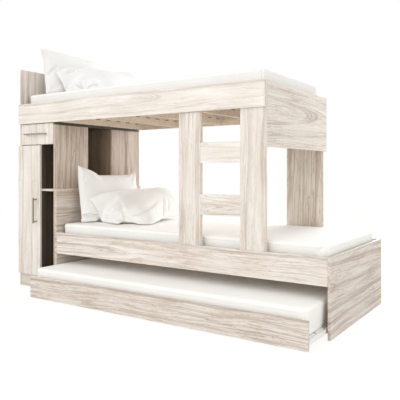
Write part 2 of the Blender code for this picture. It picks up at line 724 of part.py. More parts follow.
def make_drawer_side(side, wall, toward, groove, bed, slide):
    """A grooved drawer side with its runner bar, and the steel channel that the bar runs in."""
    base = DRAWER_BOX_BASE
    top = base + DRAWER_BOX_HEIGHT
    outer = wall + toward * RUNNER_SPACE
    inner = outer + toward * (DRAWER_SIDE - HALF_FIT)
    groove_floor = inner - toward * GROOVE_DEPTH
    middle = base + DRAWER_BOX_HEIGHT / 2
    channel_low = middle - RUNNER_HEIGHT / 2
    channel_high = middle + RUNNER_HEIGHT / 2
    bar_low = channel_low + RUNNER_WALL + RUNNER_PLAY
    bar_high = channel_high - RUNNER_WALL - RUNNER_PLAY
    bar_face = outer - toward * RUNNER_BAR_THICKNESS
    outline = (
        (outer, base),
        (inner, base),
        (inner, groove[0]),
        (groove_floor, groove[0]),
        (groove_floor, groove[1]),
        (inner, groove[1]),
        (inner, top),
        (outer, top),
        (outer, bar_high),
        (bar_face, bar_high),
        (bar_face, bar_low),
        (outer, bar_low),
    )
    bm = bmesh.new()
    add_prism(bm, outline, BOARD + HALF_FIT, DRAWER_BOX_BACK, "Y")
    add_object("drawer_" + side + "_side", bm, (outer, BOARD, base), "dark_laminate", slide)
    back = wall + toward * HALF_FIT
    web = back + toward * RUNNER_WALL
    mouth = outer - toward * RUNNER_LIP
    channel = (
        (back, channel_low),
        (mouth, channel_low),
        (mouth, channel_low + RUNNER_WALL),
        (web, channel_low + RUNNER_WALL),
        (web, channel_high - RUNNER_WALL),
        (mouth, channel_high - RUNNER_WALL),
        (mouth, channel_high),
        (back, channel_high),
    )
    bm = bmesh.new()
    add_prism(bm, channel, BOARD + RUNNER_END_PLAY, FRONT_ROOM_BACK - RUNNER_END_PLAY, "Y")
    add_object(side + "_drawer_channel", bm, (back, BOARD, middle), "steel", bed)


def hinge_heights():
    from_end = (DOOR_TOP - PLINTH_HEIGHT) * HINGE_END_SHARE
    return (("lower", PLINTH_HEIGHT + from_end), ("upper", DOOR_TOP - from_end))


def make_door(bed):
    """The door covers the edge of the head side panel and turns about its own inner left edge."""
    hinge = make_empty("door_hinge", (0, -DOOR_GAP, (PLINTH_HEIGHT + DOOR_TOP) / 2), bed)
    door_low = (0, -DOOR_GAP - BOARD, PLINTH_HEIGHT)
    door = board("door", door_low, (DOOR_WIDTH, -DOOR_GAP, DOOR_TOP), "oak_laminate", hinge)
    inner_face = -DOOR_GAP - HALF_FIT
    bores = bmesh.new()
    for name, height in hinge_heights():
        centre = Vector((CUP_EDGE + CUP_RADIUS, inner_face, height))
        bore_depth = CUP_DEPTH + FIT + CUT_OVERRUN
        bore_centre = centre + Vector((0, CUT_OVERRUN - bore_depth / 2, 0))
        add_cylinder(bores, bore_centre, CUP_RADIUS + FIT, bore_depth, "Y", CUP_SEGMENTS)
        make_cup(name + "_hinge_cup", centre, hinge)
    cut(door, bores, hinge)
    make_handle(
        "door_handle",
        (DOOR_WIDTH - DOOR_HANDLE_EDGE, DOOR_HANDLE_HEIGHT),
        DOOR_HANDLE_LENGTH,
        "Z",
        -DOOR_GAP - BOARD,
        hinge,
    )


def make_cup(name, centre, hinge):
    """A round steel cup, open to the inside of the cabinet."""
    profile = (
        (CUP_RADIUS, -CUP_DEPTH),
        (CUP_RADIUS, 0),
        (CUP_RADIUS - CUP_WALL, 0),
        (CUP_RADIUS - CUP_WALL, CUP_WALL - CUP_DEPTH),
    )
    bm = bmesh.new()
    rings = []
    for radius, depth in profile:
        ring = []
        for step in range(CUP_SEGMENTS):
            angle = 2 * math.pi * step / CUP_SEGMENTS
            offset = Vector((radius * math.cos(angle), depth, radius * math.sin(angle)))
            ring.append(bm.verts.new(centre + offset))
        rings.append(ring)
    bm.faces.new(rings[0])
    bm.faces.new(rings[-1])
    for near, far in zip(rings[:-1], rings[1:]):
        for first in range(CUP_SEGMENTS):
            second = (first + 1) % CUP_SEGMENTS
            bm.faces.new((near[first], near[second], far[second], far[first]))
    add_object(name, bm, centre, "steel", hinge, smooth=True)


def make_hinge_arms(bed):
    """Base plates on the head side panel, each with the arm that reaches forward to its cup."""
    plate_face = BOARD + HALF_FIT + HINGE_PLATE_THICKNESS
    plate_front = HINGE_PLATE_SETBACK
    plate_back = plate_front + HINGE_PLATE_LENGTH
    root_face = plate_face - HINGE_PLATE_THICKNESS / 2
    outline = (
        (root_face, plate_back - HINGE_ARM_TIP),
        (root_face, plate_front + HINGE_ARM_TIP),
        (plate_face, HINGE_ARM_TIP / 2),
        (BOARD + HINGE_ARM_REACH, HINGE_ARM_TIP / 2),
        (BOARD + HINGE_ARM_REACH, HINGE_ARM_TIP),
        (plate_face + HINGE_ARM_RISE, HINGE_ARM_TIP * 2),
        (plate_face + HINGE_ARM_RISE, plate_front + HINGE_ARM_TIP),
        (plate_face + HINGE_ARM_TIP, plate_back - HINGE_ARM_TIP),
    )
    for name, height in hinge_heights():
        half_plate = HINGE_PLATE_HEIGHT / 2
        plate = bmesh.new()
        low = (BOARD, plate_front, height - half_plate)
        add_box(plate, low, (plate_face + HALF_FIT, plate_back, height + half_plate))
        part = add_object(name + "_hinge_arm", plate, (BOARD, plate_front, height), "steel", bed)
        half_arm = HINGE_ARM_HEIGHT / 2
        arm = bmesh.new()
        add_prism(arm, outline, height - half_arm, height + half_arm, "Z")
        join(part, arm, bed)


def make_trundle(bed):
    slide = make_empty("trundle_slide", ((TRUNDLE_START + TRUNDLE_END) / 2, TRUNDLE_FRONT, 0), bed)
    base = TRUNDLE_FLOOR_GAP
    top = TRUNDLE_PANEL_TOP
    inner_front = TRUNDLE_FRONT + BOARD
    inner_back = TRUNDLE_BACK - BOARD
    front_low = (TRUNDLE_START, TRUNDLE_FRONT, base)
    board("trundle_front", front_low, (TRUNDLE_END, inner_front, top), "oak_laminate", slide)
    back_low = (TRUNDLE_START, inner_back, base)
    board("trundle_back", back_low, (TRUNDLE_END, TRUNDLE_BACK, top), "oak_laminate", slide)
    inner_start = TRUNDLE_START + BOARD
    inner_end = TRUNDLE_END - BOARD
    front = inner_front + TRUNDLE_WIDTH_PLAY
    make_trundle_base(inner_start, inner_end, inner_front, inner_back, front, slide)
    start = (TRUNDLE_START + TRUNDLE_END - TRUNDLE_MATTRESS_LENGTH) / 2
    make_mattress("trundle_mattress", start, TRUNDLE_MATTRESS_LENGTH, front, TRUNDLE_SLAT_TOP, slide)
    make_casters(slide, inner_start, inner_end)


def make_trundle_base(inner_start, inner_end, inner_front, inner_back, front, slide):
    """Flat beams with slats on them, closed by an end board at each side."""
    beams = bmesh.new()
    add_beams(
        beams,
        inner_start,
        inner_end,
        inner_front,
        inner_back,
        CASTER_HEIGHT,
        TRUNDLE_BEAM_COUNT,
        TRUNDLE_BEAM_WIDTH,
        TRUNDLE_BEAM_HEIGHT,
    )
    origin = (inner_start, inner_front, CASTER_HEIGHT)
    part = add_object("trundle_slatted_base", beams, origin, "sawn_wood", slide)
    ends = bmesh.new()
    end_top = TRUNDLE_SLAT_TOP - TRUNDLE_END_DROP
    end_low = (TRUNDLE_START, inner_front, CASTER_HEIGHT)
    add_box(ends, end_low, (inner_start + JOIN_OVERLAP, inner_back, end_top))
    end_low = (inner_end - JOIN_OVERLAP, inner_front, CASTER_HEIGHT)
    add_box(ends, end_low, (TRUNDLE_END, inner_back, end_top))
    join(part, ends, slide, "ends")
    slats = bmesh.new()
    play = JOIN_OVERLAP + SLAT_END_PLAY
    add_slats(slats, inner_start + play, inner_end - play, front, TRUNDLE_SLAT_BASE)
    join(part, slats, slide, "slats")


def make_casters(slide, inner_start, inner_end):
    """Fixed casters under the outer beams, which roll along Y."""
    places = {}
    for row, y in (("front", TRUNDLE_FRONT + CASTER_INSET), ("back", TRUNDLE_BACK - CASTER_INSET)):
        for side, x in (
            ("left", inner_start + TRUNDLE_BEAM_WIDTH / 2),
            ("right", inner_end - TRUNDLE_BEAM_WIDTH / 2),
        ):
            places[row + "_" + side] = (x, y)
    cheek_in = WHEEL_WIDTH / 2 + BRACKET_PLAY
    cheek_out = cheek_in + BRACKET_STEEL
    for name, (x, y) in places.items():
        bracket = bmesh.new()
        add_bracket(bracket, (x, y), cheek_in, cheek_out)
        centre = (x, y, WHEEL_RADIUS)
        part = add_object(name + "_caster_bracket", bracket, centre, "steel", slide)
        axle = bmesh.new()
        length = 2 * (cheek_out + AXLE_HEAD)
        add_cylinder(axle, centre, AXLE_RADIUS, length, "X", SMALL_ROUND_SEGMENTS)
        join(part, axle, slide, "axle")
        make_wheel(name + "_wheel", centre, slide)


def add_bracket(bm, place, cheek_in, cheek_out):
    """A plate with two cheeks that narrow towards the axle, drawn as one bent sheet."""
    x, y = place
    half_plate = BRACKET_PLATE / 2
    top = CASTER_HEIGHT - HALF_FIT
    under = top - BRACKET_STEEL
    toe = WHEEL_RADIUS - BRACKET_BELOW_AXLE
    section = (
        (-half_plate, top),
        (half_plate, top),
        (half_plate, under),
        (cheek_out, under),
        (cheek_out, toe),
        (cheek_in, toe),
        (cheek_in, under),
        (-cheek_in, under),
        (-cheek_in, toe),
        (-cheek_out, toe),
        (-cheek_out, under),
        (-half_plate, under),
    )
    rings = []
    for side in (-1, 1):
        ring = []
        for offset, level in section:
            reach = BRACKET_TOE / 2 if level == toe else half_plate
            ring.append(bm.verts.new((x + offset, y + side * reach, level)))
        rings.append(ring)
    count = len(section)
    bm.faces.new(rings[0])
    bm.faces.new(rings[1])
    for first in range(count):
        second = (first + 1) % count
        bm.faces.new((rings[0][first], rings[0][second], rings[1][second], rings[1][first]))


def make_wheel(name, centre, slide):
    """A solid nylon wheel: crowned tread, dished web and a hub with its bore."""
    bore = AXLE_RADIUS + AXLE_PLAY
    half = WHEEL_WIDTH / 2
    web = half - WHEEL_DISH
    rim = WHEEL_RADIUS - WHEEL_RIM
    profile = (
        (bore, -half),
        (WHEEL_HUB_RADIUS, -half),
        (WHEEL_HUB_RADIUS, -web),
        (rim, -web),
        (rim, -half),
        (WHEEL_RADIUS - WHEEL_CROWN, -half),
        (WHEEL_RADIUS, -half + WHEEL_CROWN),
        (WHEEL_RADIUS, half - WHEEL_CROWN),
        (WHEEL_RADIUS - WHEEL_CROWN, half),
        (rim, half),
        (rim, web),
        (WHEEL_HUB_RADIUS, web),
        (WHEEL_HUB_RADIUS, half),
        (bore, half),
    )
    bm = bmesh.new()
    add_turned(bm, profile, centre, "X", WHEEL_SEGMENTS)
    add_object(name, bm, centre, "wheel_nylon", slide, smooth=True)


def main():
    clear_scene()
    make_materials()
    middle_y = (TRUNDLE_FRONT + DEPTH) / 2
    bed = make_empty("bunk_bed", (-LOWER_LENGTH / 2, -middle_y, 0))
    make_cabinet(bed)
    make_cabinet_top(bed)
    make_hinge_arms(bed)
    make_lower_bed(bed)
    make_upper_bed(bed)
    make_ladder(bed)
    make_drawer(bed)
    make_door(bed)
    make_trundle(bed)


main()
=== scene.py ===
"""The looks of the triple bunk bed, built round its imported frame. All sizes are in metres."""

import math

import bmesh
import bpy
import numpy as np
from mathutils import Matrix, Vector, noise


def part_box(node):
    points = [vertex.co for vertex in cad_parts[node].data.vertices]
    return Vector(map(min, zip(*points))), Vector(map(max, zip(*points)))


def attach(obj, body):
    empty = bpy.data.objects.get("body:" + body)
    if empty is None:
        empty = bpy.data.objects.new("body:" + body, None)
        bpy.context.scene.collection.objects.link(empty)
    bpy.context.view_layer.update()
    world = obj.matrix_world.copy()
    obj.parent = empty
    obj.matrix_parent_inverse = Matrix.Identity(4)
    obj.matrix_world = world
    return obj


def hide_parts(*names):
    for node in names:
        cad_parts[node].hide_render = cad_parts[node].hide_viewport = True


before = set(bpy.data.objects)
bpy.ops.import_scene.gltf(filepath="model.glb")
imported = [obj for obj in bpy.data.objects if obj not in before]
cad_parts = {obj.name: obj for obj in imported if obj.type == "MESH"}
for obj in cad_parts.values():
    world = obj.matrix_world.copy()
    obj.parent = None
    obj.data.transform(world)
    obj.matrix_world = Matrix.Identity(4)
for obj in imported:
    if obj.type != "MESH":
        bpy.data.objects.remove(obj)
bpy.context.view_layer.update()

# Camera, solved from the photograph's straight edges
LENS = 48.3
SENSOR = 36
SHIFT_Y = -0.073
CAMERA_PLACE = (2.04, -2.781, 0.807)
CAMERA_TURN = 33.8

# Floor, backdrop and world
FLOOR_SIDE = 14
FLOOR_ROUGHNESS = 0.9
FLOOR_WHITE = 1.06
FLOOR_SHADOW_SHARE = 0.12
BACKGROUND_WHITE = 1.0
WORLD_LIGHT = 0.86

# Lamps: the place of each, its side, its power and what it is aimed at
MIDDLE_OF_BED = (0, 0, 0.7)
LAMPS = {
    "key_lamp": ((-1.8, -4.2, 3.4), 3.0, 24, MIDDLE_OF_BED),
    "front_lamp": ((0.4, -4.6, 1.7), 2.6, 47, MIDDLE_OF_BED),
    "fill_lamp": ((4.9, -1.3, 1.1), 2.6, 32, MIDDLE_OF_BED),
    "back_lamp": ((0.3, 3.6, 1.5), 2.4, 96, (0.3, 0.2, 0.45)),
}

# Wood: how far the grain is shifted from board to board, sways and ripples, how the pith line swings
# along the board, and the noise of the rings and its share of the figure
GRAIN_SHIFT = 3.7
GRAIN_SWAY = 0.075
GRAIN_RIPPLE = 0.012
PITH_SWING = 0.035
PITH_SWING_RATE = 1.7
RING_DETAIL = 5.0
RING_ROUGHNESS = 0.68
RING_SHARE = 0.62
# How far each pattern is drawn out along the grain, and the scale, detail and roughness of its noise
PATTERNS = {
    "sway": (0.35, 3.0, 2.0, 0.5),
    "ripple": (0.3, 14.0, 2.0, 0.5),
    "broad": (0.3, 11.0, 3.0, 0.55),
    "thin": (0.035, 150.0, 4.0, 0.65),
    "fibres": (0.02, 620.0, 2.0, 0.6),
    "pores": (0.06, 1100.0, 1.0, 0.5),
    "streaks": (0.045, 68.0, 3.0, 0.62),
    "fade": (0.25, 9.0, 2.0, 0.5),
}
# Where in a pattern its colours lie, from pale to dark
FIGURE_STOPS = (0.38, 0.49, 0.62)
BROAD_STOPS = (0.35, 0.65)
STREAK_STOPS = (0.5, 0.68)
FIBRE_STOPS = ((0.32, 0.94), (0.6, 1.0))
PORE_STOPS = ((0.28, 0.8), (0.36, 1.0))
# Veins: the pattern that each follows, where in it and half its width
VEINS = (("rings", 0.6, 0.028), ("streaks", 0.42, 0.016), ("streaks", 0.57, 0.014))
VEIN_STRENGTH = 0.75
# Ranges of a noise and what they become: how the figure fades and how bold lines break up
FADE_RANGE = (0.35, 0.65)
FADED_SHARE = 0.3
PATCH_RANGE = (0.3, 0.6, 0.35, 1.0)
WOOD_BUMP = (0.1, 0.0005)
# How much smoother and rougher than its plain value a wood gets
WOOD_GLOSS = (0.05, 0.08)
# Slots in the beams of the upper base: how high above its middle, half the height and the pitch,
# then how strong they are, how soft their edges and which part of each pitch they take
UPPER_SLOTS = (0.002, 0.0036, 0.107)
SLOT_STRENGTH = 0.85
SLOT_SOFTNESS = 1.4
SLOT_RANGE = (0.1, 0.4, 0.0, 1.0)

# Cloth: the thread and crease of each kind, then the noises by scale, detail and roughness, and the
# heights of weave and noise
KNIT = (0.0022, 0.5)
COTTON = (0.0016, 0.7)
CLOTH_ROUGHNESS = 0.85
SHEEN_WEIGHT = 0.25
SHEEN_ROUGHNESS = 0.5
SOFT_NOISE = (14.0, 3.0, 0.55)
FINE_NOISE = (90.0, 2.0, 0.6)
WEAVE_HEIGHT = 0.02
FINE_HEIGHT = 0.06
CLOTH_STOPS = ((0.3, 0.97), (0.7, 1.0))
CLOTH_BUMP = (0.35, 0.004)

# Metal and nylon: noises by scale, detail and roughness, and bumps by strength and distance
METALLIC = 0.9
BRUSHED_ALONG = 20.0
BRUSHED_ACROSS = 900.0
BRUSHED_NOISE = (1.0, 2.0, 0.5)
BRUSHED_STOPS = ((0.3, 0.85), (0.7, 1.0))
METAL_GLOSS = (0.06, 0.08)
METAL_BUMP = (0.08, 0.0003)
STEEL_ROUGHNESS = 0.32
HANDLE_ROUGHNESS = 0.4
NYLON_ROUGHNESS = 0.5
NYLON_GRAIN = (900.0, 2.0, 0.5)
NYLON_WEAR = (60.0, 3.0, 0.6)
NYLON_STOPS = ((0.35, 1.0), (0.75, 1.6))
NYLON_BUMP = (0.15, 0.0003)

# Mattresses: mesh cells, the rounding of corners in plan and of edges, the seams on the sides, how far
# a seam is drawn in, how far the sides taper to the bottom, and how the case is filled
MATTRESS_CELL = 0.022
MATTRESS_HEAD_CORNER = 0.022
MATTRESS_FOOT_CORNER = 0.048
MATTRESS_EDGE = 0.018
EDGE_SHARES = (0.3, 0.55, 0.78, 0.93, 1.0)
SIDE_SHARE = 0.9
SEAM_FROM_EDGE = 0.006
SEAM_SIDE = 0.004
SEAM_CLEAR = 0.0055
SEAM_REACH = 0.001
MATTRESS_SEAM = 0.001
MATTRESS_TAPER = 0.01
MATTRESS_START_INSET = 0.002
MATTRESS_RISE = 0.003
MATTRESS_PRESSURE = 4.0
MATTRESS_FRAMES = 20
MATTRESS_CAP = 0.004
MATTRESS_STIFFNESS = 15.0
MATTRESS_BENDING = 0.5
# Tucks at a mattress's front corner by the foot: the reach and the cells of the finer mesh there, how
# far a tuck is raised, its half width and how far its lower side stands over its upper one, then how
# far back and down its two ends are
TUCK_REACH = 0.1
TUCK_CELL = 0.006
TUCK_FORM = (-0.012, 0.008, 0.004)
TUCKS = {
    "lower_mattress": ((0.068, 0.05), (0.03, 0.012)),
    "upper_mattress": ((0.045, 0.06), (0.012, 0.016)),
}

# Cloth simulation, then folds: the share of its depth that a fold has at its ends and how fast it
# deepens from there. TINY keeps lengths that are divided by from being zero.
CLOTH_QUALITY = 5
CLOTH_MASS = 0.3
FOLD_END = 0.3
FOLD_GROWTH = 5
TINY = 1e-9

# Pillows: cells of their mesh, and how a pillow gives way to what it touches
PILLOW_COLUMNS = 84
PILLOW_ROWS = 64
SEAM_CLOSENESS = 0.35
PILLOW_PRESSURE = 3.0
PILLOW_FRAMES = 10
PILLOW_CAP = 0.006
PILLOW_STIFFNESS = 8.0
PILLOW_BENDING = 0.05
PILLOW_SQUASH = 0.01
CLEARANCE = 0.001
# How thick each side of a pillow is, how full near its four seams, how far it is gathered, and which
# way it swells
BACK_HALF_THICKNESS = 0.062
BACK_REAR_SHARE = 0.8
BACK_FULLNESS = (2.6, 2.6, 2.6, 2.6)
BACK_PUCKER = 0.0035
BACK_SWELL = (0.99, 0.0, 0.12)
BACK_REAR_SWELL = (-1.0, 0.0, 0.0)
FRONT_HALF_THICKNESS = 0.158
FRONT_UNDER_THICKNESS = 0.03
FRONT_FULLNESS = (2.3, 11.0, 3.5, 2.8)
FRONT_PUCKER = 0.005
FRONT_SWELL = (0.16, -0.08, 0.99)
FRONT_UNDER_SWELL = (0.0, 0.0, -1.0)
FRONT_LEAN = 0.15
FRONT_RAMP = 1.0
FRONT_WAVE_FALL = 6
RAMP_FULLNESS = 1.5
RAMP_EASING = 0.45
# Gathers of a stuffed case: its soft noises by height, scale and shift, then the gathers along its
# seams and the fans at its corners
PUCKER_NOISES = ((0.35, 3.0, 0), (0.18, 9.0, 5))
GATHER_HEIGHT = 0.6
GATHER_DEPTH = 0.07
GATHER_RATE = 17
GATHER_PITCH = 2.1
GATHER_DRIFT = 2.2
GATHER_DRIFT_RATE = 5
GATHER_SHIFT = 1.7
FAN_HEIGHT = 1.1
FAN_PLACE = 0.16
FAN_WIDTH = 0.13
FAN_RATE = 9
FAN_SHIFT = 1.3

# The seams of the pillows, from the foot of the headboard's face at the bed's front edge:
# across the headboard, along it and up. Each run goes from one corner to the next.
BACK_BOTTOM = ((0.102, 0.122, 0.006), (0.145, 0.25, 0.006), (0.15, 0.45, 0.006), (0.105, 0.73, 0.006))
BACK_NEAR = ((0.102, 0.122, 0.006), (0.096, 0.126, 0.05), (0.083, 0.128, 0.157), (0.072, 0.127, 0.27))
BACK_FAR = ((0.105, 0.73, 0.006), (0.09, 0.712, 0.15), (0.08, 0.712, 0.27))
LOWER_BACK_TOP = ((0.066, 0.1275, 0.3955), (0.062, 0.192, 0.378), (0.06, 0.23, 0.369), (0.06, 0.279, 0.35),
                  (0.06, 0.328, 0.3305), (0.06, 0.4725, 0.329), (0.06, 0.615, 0.33), (0.062, 0.684, 0.345),
                  (0.066, 0.728, 0.362))
UPPER_BACK_TOP = ((0.07, 0.104, 0.342), (0.064, 0.184, 0.344), (0.06, 0.278, 0.342), (0.06, 0.396, 0.334),
                  (0.06, 0.499, 0.333), (0.06, 0.606, 0.331), (0.062, 0.684, 0.321), (0.066, 0.728, 0.316))
FRONT_NEAR = ((0.419, 0.142, 0.006), (0.32, 0.172, 0.006), (0.183, 0.233, 0.008), (0.172, 0.192, 0.09),
              (0.152, 0.152, 0.168))
FRONT_FOOT = ((0.419, 0.142, 0.006), (0.42, 0.235, 0.034), (0.52, 0.222, 0.006), (0.592, 0.262, 0.008),
              (0.56, 0.4, 0.014), (0.5, 0.52, 0.016), (0.46, 0.709, 0.014), (0.45, 0.815, 0.012))
FRONT_HEM = ((0.419, 0.142, 0.006), (0.53, 0.2, 0.006), (0.588, 0.29, 0.006), (0.56, 0.45, 0.006),
             (0.5, 0.62, 0.006), (0.45, 0.815, 0.012))
FRONT_HEAD = ((0.152, 0.152, 0.168), (0.15, 0.35, 0.135), (0.15, 0.6, 0.105), (0.16, 0.81, 0.08))
FRONT_FAR = ((0.45, 0.815, 0.012), (0.41, 0.818, 0.075), (0.3, 0.818, 0.08), (0.16, 0.81, 0.08))

# The pillows' folds: their places from the same corner, how far a fold is raised and its half width
FOLDS = {
    "lower_back": (
        (((0.098, 0.125, 0.038), (0.115, 0.139, 0.048), (0.138, 0.171, 0.050), (0.158, 0.208, 0.049),
          (0.165, 0.234, 0.029)),
         -0.03, 0.009),
        (((0.100, 0.123, 0.017), (0.130, 0.161, 0.023), (0.158, 0.227, 0.019)),
         0.02, 0.013),
        (((0.097, 0.165, 0.323), (0.098, 0.150, 0.284)),
         -0.01, 0.006),
        (((0.092, 0.217, 0.350), (0.105, 0.283, 0.318)),
         -0.008, 0.008),
        (((0.099, 0.441, 0.313), (0.092, 0.611, 0.315)),
         -0.006, 0.008),
    ),
    "lower_front": (
        (((0.286, 0.301, 0.141), (0.353, 0.252, 0.105), (0.395, 0.226, 0.075)),
         -0.009, 0.008),
        (((0.374, 0.239, 0.093), (0.411, 0.221, 0.058), (0.419, 0.232, 0.034)),
         -0.026, 0.011),
        (((0.355, 0.280, 0.124), (0.399, 0.245, 0.094), (0.424, 0.231, 0.068)),
         0.006, 0.008),
        (((0.437, 0.231, 0.060), (0.475, 0.255, 0.072), (0.503, 0.306, 0.088), (0.489, 0.389, 0.110),
          (0.451, 0.512, 0.139)),
         -0.018, 0.012),
        (((0.454, 0.232, 0.037), (0.512, 0.254, 0.048), (0.529, 0.316, 0.072), (0.491, 0.449, 0.105)),
         0.008, 0.012),
        (((0.426, 0.612, 0.155), (0.474, 0.552, 0.092), (0.494, 0.530, 0.030)),
         -0.011, 0.0055),
        (((0.418, 0.649, 0.164), (0.461, 0.599, 0.103), (0.479, 0.579, 0.048)),
         0.005, 0.007),
        (((0.427, 0.662, 0.152), (0.457, 0.632, 0.101), (0.474, 0.608, 0.039)),
         -0.008, 0.005),
        (((0.171, 0.215, 0.051), (0.208, 0.229, 0.032), (0.247, 0.222, 0.049), (0.277, 0.231, 0.075),
          (0.299, 0.235, 0.086)),
         -0.018, 0.01),
        (((0.231, 0.280, 0.171), (0.260, 0.317, 0.163)),
         -0.005, 0.012),
        (((0.255, 0.208, 0.028), (0.288, 0.209, 0.053), (0.340, 0.222, 0.079), (0.384, 0.214, 0.065)),
         0.008, 0.01),
        (((0.162, 0.172, 0.130), (0.171, 0.191, 0.092), (0.172, 0.210, 0.059)),
         -0.009, 0.009),
    ),
    "upper_back": (
        (((0.104, 0.137, 0.140), (0.123, 0.167, 0.180), (0.136, 0.211, 0.213)),
         -0.018, 0.01),
        (((0.153, 0.271, 0.198), (0.153, 0.350, 0.225), (0.140, 0.463, 0.263)),
         -0.01, 0.01),
    ),
    "upper_front": (
        (((0.190, 0.211, 0.157), (0.222, 0.267, 0.184), (0.224, 0.343, 0.216)),
         -0.026, 0.012),
        (((0.253, 0.257, 0.100), (0.360, 0.194, 0.050), (0.403, 0.190, 0.029)),
         -0.055, 0.013),
        (((0.420, 0.231, 0.036), (0.448, 0.231, 0.051), (0.464, 0.253, 0.076)),
         -0.055, 0.013),
        (((0.483, 0.235, 0.041), (0.497, 0.272, 0.073), (0.508, 0.317, 0.088)),
         -0.01, 0.008),
        (((0.368, 0.244, 0.098), (0.409, 0.213, 0.041)),
         -0.012, 0.012),
    ),
}


def srgb(red, green, blue):
    """A colour as linear light, from the 0 to 255 values of a picture."""
    linear = []
    for value in (red, green, blue):
        share = value / 255
        linear.append(share / 12.92 if share <= 0.04045 else ((share + 0.055) / 1.055) ** 2.4)
    return (*linear, 1.0)


def add_node(tree, kind, inputs=None, **settings):
    """Adds a shader node, with sockets linked or set by their name or place."""
    made = tree.nodes.new(kind)
    for key, value in settings.items():
        setattr(made, key, value)
    for key, value in (inputs or {}).items():
        if isinstance(value, bpy.types.NodeSocket):
            tree.links.new(value, made.inputs[key])
        else:
            made.inputs[key].default_value = value
    return made


def math_node(tree, operation, first, second=0.0):
    return add_node(tree, "ShaderNodeMath", {0: first, 1: second}, operation=operation).outputs[0]


def plus(tree, first, second):
    return math_node(tree, "ADD", first, second)


def minus(tree, first, second):
    return math_node(tree, "SUBTRACT", first, second)


def times(tree, first, second):
    return math_node(tree, "MULTIPLY", first, second)


def map_node(tree, value, from_low, from_high, to_low, to_high):
    """A value moved from one range to another and kept inside it."""
    ends = {0: value, 1: from_low, 2: from_high, 3: to_low, 4: to_high}
    return add_node(tree, "ShaderNodeMapRange", ends).outputs[0]


def noise_node(tree, vector, scale, detail, roughness):
    inputs = {"Vector": vector, "Scale": scale, "Detail": detail, "Roughness": roughness}
    return add_node(tree, "ShaderNodeTexNoise", inputs).outputs["Fac"]


def ramp_node(tree, value, stops):
    """A colour ramp from (place, colour) pairs."""
    made = add_node(tree, "ShaderNodeValToRGB", {"Fac": value})
    elements = made.color_ramp.elements
    elements[0].position, elements[0].color = stops[0]
    elements[1].position, elements[1].color = stops[-1]
    for place, colour in stops[1:-1]:
        elements.new(place).color = colour
    return made.outputs["Color"]


def mix_node(tree, factor, first, second, blend="MIX"):
    made = add_node(tree, "ShaderNodeMix", {"Factor": factor}, data_type="RGBA", blend_type=blend)
    for socket, value in ((made.inputs[6], first), (made.inputs[7], second)):
        if isinstance(value, bpy.types.NodeSocket):
            tree.links.new(value, socket)
        else:
            socket.default_value = value
    return made.outputs[2]


def grey(level):
    return (level, level, level, 1.0)


def shaded(tree, colour, pattern, stops):
    """A colour multiplied by greys that follow a pattern, from (place, level) pairs."""
    tone = ramp_node(tree, pattern, [(place, grey(level)) for place, level in stops])
    return mix_node(tree, 1.0, colour, tone, "MULTIPLY")


def object_places(tree):
    return add_node(tree, "ShaderNodeTexCoord").outputs["Object"]


def new_material(name, roughness, metallic=0.0):
    material = bpy.data.materials.new(name)
    material.use_nodes = True
    tree = material.node_tree
    shader = tree.nodes["Principled BSDF"]
    shader.inputs["Roughness"].default_value = roughness
    shader.inputs["Metallic"].default_value = metallic
    return material, tree, shader


def add_gloss(tree, shader, pattern, roughness, smoother, rougher):
    """Lets the roughness follow a pattern round its plain value."""
    gloss = map_node(tree, pattern, 0.0, 1.0, roughness - smoother, roughness + rougher)
    tree.links.new(gloss, shader.inputs["Roughness"])


def add_bump(tree, shader, height, strength, distance):
    bump = add_node(tree, "ShaderNodeBump", {"Height": height, "Strength": strength, "Distance": distance})
    tree.links.new(bump.outputs["Normal"], shader.inputs["Normal"])


# Wood


class Wood:
    """The colours and the scale of one kind of wood."""

    def __init__(self, pale, middle, streak, vein, shade_brown, roughness, ring_rate, contrast):
        self.pale = pale
        self.middle = middle
        self.streak = streak
        self.vein = vein
        self.shade_brown = shade_brown
        self.roughness = roughness
        self.ring_rate = ring_rate
        self.contrast = contrast


OAK_PRINT = Wood(
    pale=srgb(248, 244, 238),
    middle=srgb(236, 228, 219),
    streak=srgb(209, 195, 181),
    vein=srgb(170, 152, 136),
    # The brown that a board is darkened towards by its tone: painted shade
    shade_brown=srgb(200, 184, 168),
    roughness=0.42,
    ring_rate=52.0,
    contrast=1.0,
)
# A darker copy of the oak print for the boards of the niches: painted shade of the deep niches
OAK_PRINT_PAINTED_SHADE = Wood(
    pale=srgb(176, 158, 139),
    middle=srgb(164, 145, 126),
    streak=srgb(146, 127, 108),
    vein=srgb(112, 94, 78),
    shade_brown=srgb(255, 255, 255),
    roughness=0.45,
    ring_rate=52.0,
    contrast=0.9,
)
# A wood far darker than the oak print, for the boards inside the cabinet and its drawer
DARK_INNER_WOOD = Wood(
    pale=srgb(98, 85, 72),
    middle=srgb(86, 73, 61),
    streak=srgb(72, 60, 49),
    vein=srgb(52, 43, 35),
    shade_brown=srgb(255, 255, 255),
    roughness=0.5,
    ring_rate=52.0,
    contrast=0.9,
)
WHITE_PAINT = Wood(
    pale=srgb(254, 253, 251),
    middle=srgb(251, 250, 247),
    streak=srgb(245, 243, 239),
    vein=srgb(236, 233, 228),
    shade_brown=srgb(255, 255, 255),
    roughness=0.5,
    ring_rate=70.0,
    contrast=0.6,
)
SAWN_PINE = Wood(
    pale=srgb(242, 230, 215),
    middle=srgb(234, 220, 203),
    streak=srgb(218, 201, 182),
    vein=srgb(186, 166, 144),
    shade_brown=srgb(255, 255, 255),
    roughness=0.65,
    ring_rate=70.0,
    contrast=0.8,
)
SLOT_COLOUR = srgb(152, 126, 100)


def with_bold_lines(tree, coloured, bent, thin, colour, lines):
    """The wood's colour with its bold lines, broken up into patches."""
    patches = map_node(tree, thin, *PATCH_RANGE)
    for place, half_width, strong in lines:
        away = math_node(tree, "ABSOLUTE", minus(tree, bent, place))
        near = map_node(tree, away, 0.0, half_width, strong, 0.0)
        coloured = mix_node(tree, times(tree, near, patches), coloured, colour)
    return coloured


